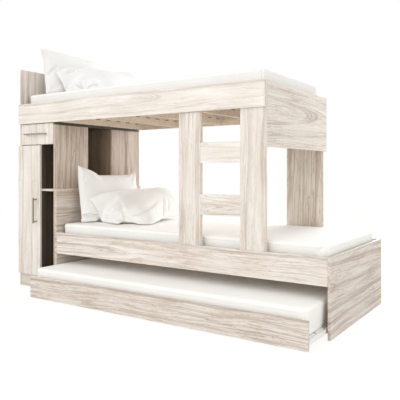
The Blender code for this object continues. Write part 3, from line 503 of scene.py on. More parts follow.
def with_slots(tree, coloured, across, through, place, half_height, pitch):
    """The wood's colour with a row of slots in the faces that look along X."""
    away = math_node(tree, "ABSOLUTE", minus(tree, through, place))
    row = map_node(tree, away, half_height, SLOT_SOFTNESS * half_height, SLOT_STRENGTH, 0.0)
    beat = math_node(tree, "SINE", times(tree, across, 2 * math.pi / pitch))
    beat = map_node(tree, beat, *SLOT_RANGE)
    faces = add_node(tree, "ShaderNodeTexCoord").outputs["Normal"]
    ends = add_node(tree, "ShaderNodeSeparateXYZ", {0: faces}).outputs["X"]
    there = times(tree, row, math_node(tree, "ABSOLUTE", ends))
    return mix_node(tree, times(tree, beat, there), coloured, SLOT_COLOUR)


def make_wood(name, wood, axes, pith, seed, tone=0.0, contrast=1.0, fineness=1.0, lines=(), slots=()):
    """A board's wood: rings round a pith line that runs nearly along the grain, fine fibres and pores.

    axes names the world axes along the grain, across it and through the board, and pith is the place
    of the pith line, across and through. tone is painted shade: how far the board is darkened towards
    the wood's shade brown, more for the boards that lie in shade. contrast is how strong its streaks
    are, and fineness how close together. lines are its bold lines: where across the board, half the
    width and how strong. slots is a row of short dark slots in the sides of beams: how high, half the
    height and the pitch.
    """
    material, tree, shader = new_material(name, wood.roughness)
    split = add_node(tree, "ShaderNodeSeparateXYZ", {0: object_places(tree)})
    along, across, through = (split.outputs[axis] for axis in axes)
    shifted = plus(tree, along, seed * GRAIN_SHIFT)

    def pattern(kind, side=across, finer=1.0):
        """One of the patterns, over the board's own places drawn out along the grain."""
        drawn_out, scale, detail, roughness = PATTERNS[kind]
        places = {0: times(tree, shifted, drawn_out), 1: side, 2: through}
        vector = add_node(tree, "ShaderNodeCombineXYZ", places).outputs[0]
        return noise_node(tree, vector, scale * finer, detail, roughness)

    sway = times(tree, minus(tree, pattern("sway"), 0.5), GRAIN_SWAY)
    ripple = times(tree, minus(tree, pattern("ripple"), 0.5), GRAIN_RIPPLE)
    bent = plus(tree, plus(tree, across, sway), ripple)
    wide = minus(tree, bent, pith[0])
    swing = times(tree, math_node(tree, "SINE", times(tree, shifted, PITH_SWING_RATE)), PITH_SWING)
    deep = plus(tree, minus(tree, through, pith[1]), swing)
    square = plus(tree, times(tree, wide, wide), times(tree, deep, deep))
    radius = plus(tree, math_node(tree, "SQRT", square), seed)
    rate = wood.ring_rate * fineness
    rings = add_node(
        tree,
        "ShaderNodeTexNoise",
        {"W": radius, "Scale": rate, "Detail": RING_DETAIL, "Roughness": RING_ROUGHNESS},
        noise_dimensions="1D",
    ).outputs["Fac"]
    thin = pattern("thin", bent)
    streaks = pattern("streaks", bent, fineness)
    strength = map_node(tree, pattern("fade"), *FADE_RANGE, FADED_SHARE * contrast, contrast)

    figure = plus(tree, times(tree, rings, RING_SHARE), times(tree, thin, 1 - RING_SHARE))
    streaked = ramp_node(tree, figure, list(zip(FIGURE_STOPS, (wood.pale, wood.middle, wood.streak))))
    plain = ramp_node(tree, pattern("broad", bent), list(zip(BROAD_STOPS, (wood.pale, wood.middle))))
    coloured = mix_node(tree, strength, plain, streaked)
    dark = ramp_node(tree, streaks, list(zip(STREAK_STOPS, (grey(0.0), grey(wood.contrast)))))
    coloured = mix_node(tree, times(tree, dark, strength), coloured, wood.streak)
    veined = {"rings": rings, "streaks": streaks}
    shades = (grey(0.0), grey(VEIN_STRENGTH * wood.contrast), grey(0.0))
    for kind, middle, width in VEINS:
        stops = list(zip((middle - width, middle, middle + width), shades))
        vein = times(tree, ramp_node(tree, veined[kind], stops), strength)
        coloured = mix_node(tree, vein, coloured, wood.vein)
    if lines:
        coloured = with_bold_lines(tree, coloured, bent, thin, wood.vein, lines)
    if slots:
        coloured = with_slots(tree, coloured, across, through, *slots)

    fibres = pattern("fibres", bent)
    pores = pattern("pores", bent)
    coloured = shaded(tree, coloured, fibres, FIBRE_STOPS)
    coloured = shaded(tree, coloured, pores, PORE_STOPS)
    # Painted shade: the board darkened towards the wood's shade brown by its tone, higher for boards in shade
    coloured = mix_node(tree, tone, coloured, wood.shade_brown, "MULTIPLY")
    tree.links.new(coloured, shader.inputs["Base Color"])
    add_gloss(tree, shader, thin, wood.roughness, *WOOD_GLOSS)
    add_bump(tree, shader, plus(tree, fibres, pores), *WOOD_BUMP)
    return material


# Cloth, metal and nylon


def make_cloth(name, colour, thread, crease):
    """Cotton or knit: a fine weave, soft creases and a little colour variation."""
    material, tree, shader = new_material(name, CLOTH_ROUGHNESS)
    shader.inputs["Sheen Weight"].default_value = SHEEN_WEIGHT
    shader.inputs["Sheen Roughness"].default_value = SHEEN_ROUGHNESS
    spots = object_places(tree)
    split = add_node(tree, "ShaderNodeSeparateXYZ", {0: spots})
    turn = 2 * math.pi / thread
    waves = [math_node(tree, "SINE", times(tree, split.outputs[axis], turn)) for axis in "XYZ"]
    weave = plus(tree, plus(tree, waves[0], waves[1]), waves[2])
    soft = noise_node(tree, spots, *SOFT_NOISE)
    fine = noise_node(tree, spots, *FINE_NOISE)
    height = plus(tree, times(tree, weave, WEAVE_HEIGHT), times(tree, soft, crease))
    height = plus(tree, height, times(tree, fine, FINE_HEIGHT))
    tree.links.new(shaded(tree, colour, soft, CLOTH_STOPS), shader.inputs["Base Color"])
    add_bump(tree, shader, height, *CLOTH_BUMP)
    return material


def make_metal(name, colour, roughness, brushed_axis):
    """Brushed metal, with fine lines along the given axis."""
    material, tree, shader = new_material(name, roughness, METALLIC)
    stretch = [BRUSHED_ALONG if axis == brushed_axis else BRUSHED_ACROSS for axis in "XYZ"]
    mapped = add_node(tree, "ShaderNodeMapping", {"Vector": object_places(tree), "Scale": stretch}).outputs[0]
    lines = noise_node(tree, mapped, *BRUSHED_NOISE)
    tree.links.new(shaded(tree, colour, lines, BRUSHED_STOPS), shader.inputs["Base Color"])
    add_gloss(tree, shader, lines, roughness, *METAL_GLOSS)
    add_bump(tree, shader, lines, *METAL_BUMP)
    return material


def make_nylon(name, colour):
    """Nylon with a fine moulded grain and a little wear."""
    material, tree, shader = new_material(name, NYLON_ROUGHNESS)
    spots = object_places(tree)
    grain = noise_node(tree, spots, *NYLON_GRAIN)
    wear = noise_node(tree, spots, *NYLON_WEAR)
    tree.links.new(shaded(tree, colour, wear, NYLON_STOPS), shader.inputs["Base Color"])
    add_bump(tree, shader, grain, *NYLON_BUMP)
    return material


# Each board's grain: axes along, across and through, the pith's place across and its distance
# through, then the board's tone, which is painted shade for the boards that lie in shade, and its
# streaks' contrast and fineness
BOARDS = {
    "head_side_panel": ("ZYX", (0.12, 0.10), 0.15, 1.2, 0.7),
    "bed_side_front_panel": ("ZYX", (0.05, 0.06), 0.66, 1.7, 0.5),
    "bed_side_rear_panel": ("ZYX", (0.4, 0.07), 0.75, 1.5, 0.5),
    "plinth": ("XZY", (0.0, 0.05), 0.35, 1.0),
    "front_niche_shelf": ("YXZ", (0.0, 0.05), 0.2, 1.0),
    "drawer_front": ("ZXY", (-0.95, 0.05), 0.0, 0.7),
    "door": ("ZXY", (-1.0, 0.05), 0.0, 0.8),
    "upper_front_rail": ("XZY", (1.24, 0.05), 0.0, 0.6),
    "upper_back_rail": ("XZY", (1.2, 0.05), 0.3, 1.0),
    "upper_foot_panel": ("YZX", (1.12, 0.06), 0.25, 1.3),
    "lower_headboard": ("YZX", (0.5, 0.07), 0.35, 2.0, 0.6),
    "lower_front_rail": ("XZY", (0.3, 0.05), 0.08, 1.3),
    "lower_back_rail": ("XZY", (0.35, 0.05), 0.3, 1.0),
    "lower_foot_panel": ("YZX", (0.25, 0.05), 0.3, 1.4, 0.8),
    "left_ladder_post": ("ZXY", (0.33, 0.05), 0.12, 1.1),
    "right_ladder_post": ("ZXY", (0.74, 0.05), 0.15, 1.1),
    "lower_rung": ("XZY", (0.6, 0.05), 0.0, 0.9),
    "upper_rung": ("XZY", (0.95, 0.05), 0.0, 0.6),
    "back_post": ("ZXY", (0.6, 0.05), 0.2, 1.4, 0.6),
    "trundle_front": ("XZY", (0.1, 0.05), 0.14, 1.5),
    "trundle_back": ("XZY", (0.07, 0.05), 0.3, 1.0),
}
# Bold lines: the share across the board, half its width and how strong it is. Most are lines of the
# print. The lines close to the top edges of the front rails are painted shade under the mattresses,
# and the trundle front's line close to its top edge is a dark line that runs along that edge.
BOLD_LINES = {
    "bed_side_front_panel": ((0.13, 0.007, 0.6), (0.3, 0.005, 0.6), (0.76, 0.02, 0.45)),
    "bed_side_rear_panel": ((0.29, 0.007, 0.6), (0.06, 0.02, 0.4)),
    "upper_foot_panel": ((0.77, 0.005, 0.6), (0.3, 0.006, 0.4)),
    "lower_headboard": ((0.76, 0.007, 0.8), (0.63, 0.013, 0.7)),
    "lower_foot_panel": ((0.62, 0.018, 0.6), (0.42, 0.01, 0.4), (0.2, 0.012, 0.35)),
    "trundle_front": ((0.92, 0.011, 0.9), (0.62, 0.003, 0.6)),
    # Painted shade: the first line of each front rail, close to its top edge under the mattress
    "lower_front_rail": ((0.95, 0.009, 0.7), (0.3, 0.003, 0.5)),
    "upper_front_rail": ((0.95, 0.012, 0.55),),
    "door": ((0.2, 0.012, 0.35), (0.62, 0.014, 0.4)),
}
# The niches' boards take the oak print's copy with painted shade
NICHE_BOARDS = {"niche_front_partition": "ZXY", "niche_rear_partition": "ZXY", "side_niche_floor": "XYZ"}
DARK_BOARDS = {
    "cabinet_top": "XYZ",
    "cabinet_bottom": "XYZ",
    "door_partition": "ZYX",
    "drawer_divider": "XYZ",
    "compartment_shelf": "XYZ",
    "drawer_left_side": "YZX",
    "drawer_right_side": "YZX",
    "drawer_back": "XZY",
    "cabinet_back": "ZXY",
    "drawer_bottom": "XYZ",
}
SLATTED_BASES = {
    "lower_slatted_base": SAWN_PINE,
    "upper_slatted_base": SAWN_PINE,
    "trundle_slatted_base": WHITE_PAINT,
}
STEEL_PIECES = (
    "left_drawer_channel",
    "right_drawer_channel",
    "lower_hinge_arm",
    "upper_hinge_arm",
    "lower_hinge_cup",
    "upper_hinge_cup",
    "front_left_caster_bracket",
    "front_right_caster_bracket",
    "back_left_caster_bracket",
    "back_right_caster_bracket",
)
WHEELS = ("front_left_wheel", "front_right_wheel", "back_left_wheel", "back_right_wheel")

# The first seeds of the inner boards and of the slatted bases, and how far behind a board its pith lies
INNER_SEED = 50
BASE_SEED = 80
INNER_PITH_DEPTH = 0.07
BASE_PITH_DEPTH = 0.08


def dress(node, material):
    """Gives a CAD node one material."""
    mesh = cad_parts[node].data
    mesh.materials.clear()
    mesh.materials.append(material)


def dress_frame():
    for number, (node, (axes, pith, *looks)) in enumerate(BOARDS.items()):
        centre = sum(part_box(node), Vector()) / 2
        depth = centre["XYZ".index(axes[2])] - pith[1]
        low, high = (corner["XYZ".index(axes[1])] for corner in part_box(node))
        lines = [(low + share * (high - low), *rest) for share, *rest in BOLD_LINES.get(node, ())]
        name = "oak_print_" + node
        dress(node, make_wood(name, OAK_PRINT, axes, (pith[0], depth), number + 1, *looks, lines=lines))
    # The inner boards in the dark wood, and the niche boards in the oak print's copy with painted shade
    for wood, boards in ((DARK_INNER_WOOD, DARK_BOARDS), (OAK_PRINT_PAINTED_SHADE, NICHE_BOARDS)):
        for number, (node, axes) in enumerate(boards.items()):
            centre = sum(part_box(node), Vector()) / 2
            pith = (centre["XYZ".index(axes[1])], centre["XYZ".index(axes[2])] - INNER_PITH_DEPTH)
            dress(node, make_wood("darker_inner_wood_" + node, wood, axes, pith, number + INNER_SEED))
    for number, (node, wood) in enumerate(SLATTED_BASES.items()):
        centre = sum(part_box(node), Vector()) / 2
        pith = (centre.y, centre.z - BASE_PITH_DEPTH)
        rise, *slot_sizes = UPPER_SLOTS
        slots = (centre.z + rise, *slot_sizes) if node.startswith("upper") else ()
        dress(node, make_wood("pine_" + node, wood, "XYZ", pith, number + BASE_SEED, slots=slots))
    steel = make_metal("zinc_plated_steel", srgb(190, 192, 194), STEEL_ROUGHNESS, "Z")
    for node in STEEL_PIECES:
        dress(node, steel)
    for node, axis in (("drawer_handle", "X"), ("door_handle", "Z")):
        dress(node, make_metal(node + "_metal", srgb(178, 166, 152), HANDLE_ROUGHNESS, axis))
    nylon = make_nylon("wheel_nylon", srgb(38, 38, 39))
    for node in WHEELS:
        dress(node, nylon)


# Soft pieces


def points_of(mesh):
    flat = np.empty(len(mesh.vertices) * 3, np.float64)
    mesh.vertices.foreach_get("co", flat)
    return flat.reshape(-1, 3)


def set_points(mesh, points):
    mesh.vertices.foreach_set("co", points.astype(np.float32).ravel())
    mesh.update()


def apply_modifiers(piece):
    """Writes the modifiers' result into the mesh."""
    graph = bpy.context.evaluated_depsgraph_get()
    made = bpy.data.meshes.new_from_object(piece.evaluated_get(graph))
    piece.modifiers.clear()
    piece.data = made


def simulate(piece, pressure, frames, cap, stiffness, bending):
    """Blows the piece up as cloth, with no gravity, and lets no point move further than cap."""
    rest = points_of(piece.data)
    cloth = piece.modifiers.new("cloth", "CLOTH")
    settings = cloth.settings
    settings.quality = CLOTH_QUALITY
    settings.mass = CLOTH_MASS
    settings.tension_stiffness = stiffness
    settings.compression_stiffness = stiffness
    settings.shear_stiffness = stiffness / 3
    settings.bending_stiffness = bending
    settings.use_pressure = True
    settings.uniform_pressure_force = pressure
    settings.effector_weights.gravity = 0
    cloth.collision_settings.use_collision = False
    cloth.point_cache.frame_start = 1
    cloth.point_cache.frame_end = frames
    scene = bpy.context.scene
    for step in range(1, frames + 1):
        scene.frame_set(step)
    apply_modifiers(piece)
    moved = points_of(piece.data) - rest
    length = np.linalg.norm(moved, axis=1, keepdims=True)
    set_points(piece.data, rest + moved * np.minimum(1, cap / np.maximum(length, TINY)))
    scene.frame_set(1)


def link_piece(name, mesh):
    piece = bpy.data.objects.new(name, mesh)
    bpy.context.scene.collection.objects.link(piece)
    return piece


def subdivide(piece):
    refine = piece.modifiers.new("refine", "SUBSURF")
    refine.levels = refine.render_levels = 1
    apply_modifiers(piece)
    piece.data.shade_smooth()


def fold_height(points, out, folds):
    """How far folds move each place outward. Each fold gives its stops in metres, how far it is raised,
    its half width, and how far its lower side stands over its upper one."""
    height = np.zeros(len(points))
    for stops, raised, half_width, step in folds:
        closest = np.full(len(points), np.inf)
        share = np.zeros(len(points))
        side = np.zeros(len(points))
        for number, (first, second) in enumerate(zip(stops[:-1], stops[1:])):
            first = np.array(first)
            run = np.array(second) - first
            place = np.clip((points - first) @ run / (run @ run), 0, 1)
            gap = points - first - place[:, None] * run
            away = np.linalg.norm(gap, axis=1)
            across = np.einsum("ij,ij->i", np.cross(out, run / np.linalg.norm(run)), gap)
            nearer = away < closest
            closest = np.where(nearer, away, closest)
            share = np.where(nearer, (number + place) / (len(stops) - 1), share)
            side = np.where(nearer, across, side)
        from_end = np.clip(np.minimum(share, 1 - share) * FOLD_GROWTH, 0, 1)
        soft = FOLD_END + (1 - FOLD_END) * from_end
        height += soft * np.exp(-((closest / half_width) ** 2)) * (raised - step * side / half_width)
    return height


def case_lines(half, seams=(), tucked=False):
    """Places of a mattress's mesh lines along one axis: close at its edges and seams, even between."""
    inner = half - MATTRESS_EDGE
    count = max(2, round(2 * inner / MATTRESS_CELL))
    edge = [inner + MATTRESS_EDGE * share for share in EDGE_SHARES]
    lines = list(np.linspace(-inner, inner, count + 1)) + edge + [-place for place in edge]
    for seam in seams:
        lines = [line for line in lines if abs(line - seam) > SEAM_CLEAR]
        lines += [seam - SEAM_SIDE, seam, seam + SEAM_SIDE]
    if tucked:
        first = half - TUCK_REACH
        lines = [line for line in lines if not first < line < inner - TUCK_CELL / 2]
        lines += list(np.arange(first + TUCK_CELL / 2, inner - TUCK_CELL / 2, TUCK_CELL))
    return sorted(lines)


def box_mesh(name, lines):
    """A closed box with mesh lines at the given places along its three axes."""
    bm = bmesh.new()
    made = {}

    def vertex(*steps):
        if steps not in made:
            made[steps] = bm.verts.new([lines[axis][steps[axis]] for axis in range(3)])
        return made[steps]

    for axis in range(3):
        first, second = (axis + 1) % 3, (axis + 2) % 3
        for level in (0, len(lines[axis]) - 1):
            for row in range(len(lines[first]) - 1):
                for column in range(len(lines[second]) - 1):
                    around = []
                    for step_row, step_column in ((0, 0), (1, 0), (1, 1), (0, 1)):
                        steps = [0, 0, 0]
                        steps[axis] = level
                        steps[first] = row + step_row
                        steps[second] = column + step_column
                        around.append(vertex(*steps))
                    bm.faces.new(around if level else around[::-1])
    mesh = bpy.data.meshes.new(name)
    bm.to_mesh(mesh)
    bm.free()
    return mesh


def turn_corners(points, half):
    """Rounds a case's corners in plan, and gives the outward directions there."""
    corner = np.where(points[:, :1] < 0, MATTRESS_HEAD_CORNER, MATTRESS_FOOT_CORNER)
    core = np.clip(points, corner - half, half - corner)[:, :2]
    away = points[:, :2] - core
    length = np.maximum(np.linalg.norm(away, axis=1, keepdims=True), TINY)
    points[:, :2] = core + away * (np.max(np.abs(away), axis=1, keepdims=True) / length)
    outward = np.zeros_like(points)
    outward[:, :2] = away / length
    return outward


def make_mattress_shape(node):
    """One mattress: a case with sewn edges, filled as cloth and kept flat where it lies on its slats."""
    low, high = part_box(node)
    centre = np.array((low + high) / 2)
    half = np.array((high - low) / 2) - MATTRESS_START_INSET
    seams = (half[2] - MATTRESS_EDGE - SEAM_FROM_EDGE, -half[2] + MATTRESS_EDGE + SEAM_FROM_EDGE, 0.0)
    lines = [case_lines(half[0], tucked=True), case_lines(half[1]), case_lines(half[2], seams)]
    mesh = box_mesh(node + "_cover", lines)
    points = points_of(mesh)
    core = np.clip(points, MATTRESS_EDGE - half, half - MATTRESS_EDGE)
    away = (points - core) / MATTRESS_EDGE
    points = core + away / np.linalg.norm(away, axis=1, keepdims=True) * MATTRESS_EDGE
    side = np.linalg.norm(away[:, :2], axis=1) > SIDE_SHARE
    sewn = side & (np.min([abs(points[:, 2] - seam) for seam in seams], axis=0) < SEAM_REACH)
    outward = turn_corners(points, half) * side[:, None]
    piece = link_piece(node + "_cover", mesh)
    set_points(mesh, centre + points)
    simulate(
        piece, MATTRESS_PRESSURE, MATTRESS_FRAMES, MATTRESS_CAP, MATTRESS_STIFFNESS, MATTRESS_BENDING
    )
    points = points_of(piece.data)
    points[sewn] -= MATTRESS_SEAM * outward[sewn]
    sunk = np.clip((high.z - MATTRESS_EDGE - points[:, 2:]) / (2 * half[2]), 0, 1)
    points -= MATTRESS_TAPER * sunk * outward
    if node in TUCKS:
        stops = [(high.x - back, low.y, high.z - down) for back, down in TUCKS[node]]
        points += fold_height(points, outward, ((stops, *TUCK_FORM),))[:, None] * outward
    set_points(piece.data, points)
    subdivide(piece)
    points = points_of(piece.data)
    points[:, 2] = np.clip(points[:, 2], low.z, high.z + MATTRESS_RISE)
    set_points(piece.data, points)
    return piece


def make_mattresses():
    knit = make_cloth("mattress_cover_knit", srgb(252, 251, 247), *KNIT)
    # The upper mattress's cover is a greyer copy of the knit: painted shade, against the stronger light on
    # the upper bed
    upper_knit_painted_shade = make_cloth("upper_mattress_cover_knit_painted_shade", srgb(245, 243, 240), *KNIT)
    for node in ("lower_mattress", "upper_mattress", "trundle_mattress"):
        piece = make_mattress_shape(node)
        piece.data.materials.append(upper_knit_painted_shade if node.startswith("upper") else knit)
        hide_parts(node)
        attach(piece, "trundle" if node.startswith("trundle") else "bed_frame")


def spline(stops, shares):
    """Places along a smooth line through the stops, one for each share of its length."""
    stops = np.array(stops, float)
    steps = np.linalg.norm(np.diff(stops, axis=0), axis=1)
    reach = np.concatenate(((0,), np.cumsum(steps)))
    where = np.asarray(shares) * reach[-1]
    padded = np.vstack((2 * stops[0] - stops[1], stops, 2 * stops[-1] - stops[-2]))
    piece = np.clip(np.searchsorted(reach, where, side="right") - 1, 0, len(steps) - 1)
    part = ((where - reach[piece]) / steps[piece])[:, None]
    before, first, second, after = (padded[piece + step] for step in range(4))
    return 0.5 * (
        2 * first
        + (second - before) * part
        + (2 * before - 5 * first + 4 * second - after) * part ** 2
        + (3 * first - before - 3 * second + after) * part ** 3
    )


def stretched_over(bottom, top, near, far, u, v):
    """A sheet of places spanned by four seams: bottom and top along u, near and far along v."""
    low = spline(bottom, u)[:, None]
    high = spline(top, u)[:, None]
    start = spline(near, v)[None]
    end = spline(far, v)[None]
    u = u[:, None, None]
    v = v[None, :, None]
    corners = (
        low[:1] * (1 - u) * (1 - v) + low[-1:] * u * (1 - v) + high[:1] * (1 - u) * v + high[-1:] * u * v
    )
    return low * (1 - v) + high * v + start * (1 - u) + end * u - corners


def wavy(u, v, seed, scale):
    """Soft noise over the sheet, from -1 to 1."""
    made = np.empty((len(u), len(v)))
    for column, across in enumerate(u):
        for row, along in enumerate(v):
            made[column, row] = noise.noise(Vector((across * scale, along * scale, seed)))
    return made


def puckered(u, v, seed):
    """Gathers that run in from the seams and fan out from the corners of a stuffed case."""
    across, along = np.meshgrid(u, v, indexing="ij")
    height = sum(share * wavy(u, v, seed + shift, scale) for share, scale, shift in PUCKER_NOISES)
    sides = ((across, along), (1 - across, along), (along, across), (1 - along, across))
    for number, (depth, side) in enumerate(sides):
        drift = GATHER_DRIFT * np.sin(side * GATHER_DRIFT_RATE + seed + number)
        sway = side * GATHER_RATE + drift + seed * GATHER_SHIFT
        height += GATHER_HEIGHT * np.sin(sway * GATHER_PITCH) * np.exp(-depth / GATHER_DEPTH)
    for number, (corner_u, corner_v) in enumerate(((0, 0), (0, 1), (1, 0), (1, 1))):
        away = np.hypot(across - corner_u, along - corner_v)
        angle = np.arctan2(np.abs(along - corner_v), np.abs(across - corner_u) + 1e-6)
        fan = np.cos(angle * FAN_RATE + seed * FAN_SHIFT + number)
        height += FAN_HEIGHT * fan * np.exp(-((away - FAN_PLACE) / FAN_WIDTH) ** 2)
    return height


def facing(surface):
    """The outward direction at each place of a sheet's front."""
    out = np.cross(np.gradient(surface, axis=0), np.gradient(surface, axis=1))
    return out / np.maximum(np.linalg.norm(out, axis=-1, keepdims=True), TINY)


def creased(surface, folds):
    """The surface of a sheet with its folds."""
    out = facing(surface)
    height = fold_height(surface.reshape(-1, 3), out.reshape(-1, 3), [(*fold, 0) for fold in folds])
    return surface + height.reshape(*surface.shape[:2], 1) * out


def pillow_mesh(name, upper, lower):
    """A closed case whose two sides share one seam."""
    columns = upper.shape[0] - 1
    rows = upper.shape[1] - 1
    bm = bmesh.new()
    grids = []
    for side in (upper, lower):
        grid = {}
        for column in range(columns + 1):
            for row in range(rows + 1):
                on_seam = column in (0, columns) or row in (0, rows)
                if grids and on_seam:
                    grid[column, row] = grids[0][column, row]
                else:
                    grid[column, row] = bm.verts.new(side[column, row])
        grids.append(grid)
    for grid, winding in zip(grids, (1, -1)):
        for column in range(columns):
            for row in range(rows):
                corners = ((column, row), (column + 1, row), (column + 1, row + 1), (column, row + 1))
                bm.faces.new([grid[corner] for corner in corners[::winding]])
    mesh = bpy.data.meshes.new(name)
    bm.to_mesh(mesh)
    bm.free()
    return mesh


def full_share(u, v, near, far, bottom, top, lean=0.0, ramp=0.0):
    """How full the case is at each place: none at its seams, most in the middle. A higher number makes
    it full closer to that seam. Lean moves the fullest place to the top, and ramp makes an even slope
    of the bottom."""
    u, v = np.meshgrid(u, v, indexing="ij")
    across = 2 * u - 1
    along = 2 * v ** (1 + lean) - 1
    sloped = bottom + (RAMP_FULLNESS - bottom) * ramp
    sides = 1 - np.abs(across) ** np.where(across < 0, near, far)
    ends = 1 - np.abs(along) ** np.where(along < 0, sloped, top)
    return sides**0.5 * ends ** (0.5 + np.where(along < 0, RAMP_EASING * ramp, 0))


def spaced(count):
    """Shares from 0 to 1, a little closer together near the seams."""
    steps = np.linspace(0, 1, count + 1)
    return steps - SEAM_CLOSENESS * np.sin(2 * np.pi * steps) / (2 * np.pi)


def pressed(points, place, normal):
    """Presses points flat against a plane, on the side that its normal points to."""
    place = np.array(place)
    normal = np.array(normal)
    reach = (points - place) @ normal
    kept = PILLOW_SQUASH * np.exp((reach - PILLOW_SQUASH) / PILLOW_SQUASH)
    wanted = np.where(reach < PILLOW_SQUASH, kept, reach)
    return points + (wanted - reach)[:, None] * normal


def finish_pillow(mesh, name, node, planes, material):
    """Relaxes a pillow as filled cloth, presses it against what it touches and dresses it."""
    piece = link_piece(name, mesh)
    simulate(piece, PILLOW_PRESSURE, PILLOW_FRAMES, PILLOW_CAP, PILLOW_STIFFNESS, PILLOW_BENDING)
    points = points_of(piece.data)
    for place, normal in planes:
        points = pressed(points, place, normal)
    set_points(piece.data, points)
    subdivide(piece)
    piece.data.materials.append(material)
    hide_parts(node)
    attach(piece, "bed_frame")


def back_form(top, u, v):
    """The middle sheet and the fullness of the pillow that leans on the headboard."""
    sheet = stretched_over(BACK_BOTTOM, top, BACK_NEAR + (top[0],), BACK_FAR + (top[-1],), u, v)
    return sheet, full_share(u, v, *BACK_FULLNESS)


def make_back_pillow(level, rest, top, folds, material):
    """The pillow that leans on the headboard."""
    u = spaced(PILLOW_COLUMNS)
    v = spaced(PILLOW_ROWS)
    sheet, full = back_form(top, u, v)
    soft = BACK_PUCKER * puckered(u, v, len(level)) * np.sqrt(full)
    front = sheet + (BACK_HALF_THICKNESS * full + soft)[..., None] * np.array(BACK_SWELL)
    rear = sheet + (BACK_HALF_THICKNESS * BACK_REAR_SHARE * full)[..., None] * np.array(BACK_REAR_SWELL)
    name = level + "_back_pillow_case"
    mesh = pillow_mesh(name, creased(front, folds) + rest, rear + rest)
    planes = ((rest, (0, 0, 1)), (rest, (1, 0, 0)))
    finish_pillow(mesh, name, level + "_back_pillow", planes, material)


def front_form(u, v):
    """The middle sheet and the fullness of the pillow that lies in front of the other one. The waves
    of its seam at the foot die out soon above the mattress."""
    sheet = stretched_over(FRONT_HEM, FRONT_HEAD, FRONT_NEAR, FRONT_FAR, u, v)
    waves = spline(FRONT_FOOT, u) - spline(FRONT_HEM, u)
    sheet += waves[:, None] * ((1 - v) ** FRONT_WAVE_FALL)[None, :, None]
    return sheet, full_share(u, v, *FRONT_FULLNESS, FRONT_LEAN, FRONT_RAMP)


def make_front_pillow(level, rest, folds, material):
    """The pillow that lies in front of the other one, with its near corners folded under."""
    u = spaced(PILLOW_COLUMNS)
    v = spaced(PILLOW_ROWS)
    sheet, full = front_form(u, v)
    soft = FRONT_PUCKER * puckered(u, v, len(level) + 3) * np.sqrt(full)
    over = sheet + (FRONT_HALF_THICKNESS * full + soft)[..., None] * np.array(FRONT_SWELL)
    under = sheet + (FRONT_UNDER_THICKNESS * full)[..., None] * np.array(FRONT_UNDER_SWELL)
    name = level + "_front_pillow_case"
    mesh = pillow_mesh(name, creased(over, folds) + rest, under + rest)
    finish_pillow(mesh, name, level + "_front_pillow", ((rest, (0, 0, 1)),), material)


# Each bed's pillows: the board behind them, the top seam of the back one, how far the front one lies
# to the foot, and their two tints, which are painted light and shade: paler in the lower bed, greyer
# in the upper one, and the front pillow's paler than the back one's, against how the light falls on
# each
PILLOWS = {
    "lower": ("lower_headboard", LOWER_BACK_TOP, 0.0, (srgb(240, 239, 237), srgb(243, 242, 240))),
    "upper": ("head_side_panel", UPPER_BACK_TOP, 0.02, (srgb(236, 235, 232), srgb(240, 239, 237))),
}


def make_pillows():
    for level, (head, top, shift, painted_light_tints) in PILLOWS.items():
        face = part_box(head)[1].x + CLEARANCE
        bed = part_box(level + "_mattress")[1].z + CLEARANCE
        rest = np.array((face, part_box("head_side_panel")[0].y, bed))
        # Each pillow's cotton takes its tint of painted light and shade
        back, front = (
            make_cloth(level + "_" + side + "_pillow_cotton", painted_light_tint, *COTTON)
            for side, painted_light_tint in zip(("back", "front"), painted_light_tints)
        )
        make_back_pillow(level, rest, top, FOLDS[level + "_back"], back)
        make_front_pillow(level, rest + (shift, 0, 0), FOLDS[level + "_front"], front)


# Camera, floor and light


def make_camera():
    data = bpy.data.cameras.new("camera")
    data.lens = LENS
    data.sensor_width = SENSOR
    data.shift_y = SHIFT_Y
    camera = bpy.data.objects.new("camera", data)
    camera.location = CAMERA_PLACE
    camera.rotation_euler = (math.pi / 2, 0, math.radians(CAMERA_TURN))
    bpy.context.scene.collection.objects.link(camera)
    bpy.context.scene.camera = camera


def mix_shaders(tree, share, first, second):
    return add_node(tree, "ShaderNodeMixShader", {0: share, 1: first, 2: second}).outputs[0]


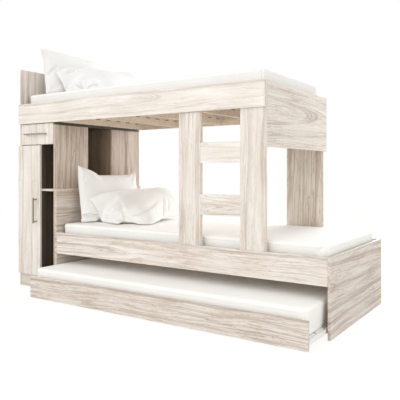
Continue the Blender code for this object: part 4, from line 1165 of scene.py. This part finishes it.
def make_floor():
    mesh = bpy.data.meshes.new("floor")
    bm = bmesh.new()
    bmesh.ops.create_grid(bm, x_segments=1, y_segments=1, size=FLOOR_SIDE / 2)
    bm.to_mesh(mesh)
    bm.free()
    floor = link_piece("floor", mesh)
    material, tree, shader = new_material("floor_white", FLOOR_ROUGHNESS)
    shader.inputs["Base Color"].default_value = srgb(214, 211, 206)
    shader.inputs["Specular IOR Level"].default_value = 0.0
    white = add_node(tree, "ShaderNodeEmission", {"Color": grey(1.0), "Strength": FLOOR_WHITE})
    path = add_node(tree, "ShaderNodeLightPath")
    seen = math_node(tree, "MAXIMUM", path.outputs["Is Camera Ray"], path.outputs["Is Glossy Ray"])
    share = times(tree, seen, 1 - FLOOR_SHADOW_SHARE)
    mixed = mix_shaders(tree, share, shader.outputs[0], white.outputs[0])
    tree.links.new(mixed, tree.nodes["Material Output"].inputs["Surface"])
    mesh.materials.append(material)


def make_world():
    world = bpy.data.worlds.new("studio")
    bpy.context.scene.world = world
    world.use_nodes = True
    tree = world.node_tree
    light = tree.nodes["Background"]
    light.inputs["Color"].default_value = grey(1.0)
    light.inputs["Strength"].default_value = WORLD_LIGHT
    white = add_node(tree, "ShaderNodeBackground", {"Color": grey(1.0), "Strength": BACKGROUND_WHITE})
    path = add_node(tree, "ShaderNodeLightPath")
    seen = math_node(tree, "MAXIMUM", path.outputs["Is Camera Ray"], path.outputs["Is Glossy Ray"])
    seen = math_node(tree, "MAXIMUM", seen, path.outputs["Is Transmission Ray"])
    mixed = mix_shaders(tree, seen, light.outputs[0], white.outputs[0])
    tree.links.new(mixed, tree.nodes["World Output"].inputs["Surface"])


def make_lamp(name, place, side, power, aim):
    data = bpy.data.lights.new(name, "AREA")
    data.shape = "SQUARE"
    data.size = side
    data.energy = power
    lamp = bpy.data.objects.new(name, data)
    lamp.location = place
    lamp.rotation_euler = (Vector(aim) - Vector(place)).to_track_quat("-Z", "Y").to_euler()
    lamp.visible_camera = False
    bpy.context.scene.collection.objects.link(lamp)


def main():
    bpy.context.scene.view_settings.view_transform = "Standard"
    make_camera()
    make_floor()
    make_world()
    for name, (place, side, power, aim) in LAMPS.items():
        make_lamp(name, place, side, power, aim)
    dress_frame()
    make_mattresses()
    make_pillows()


main()
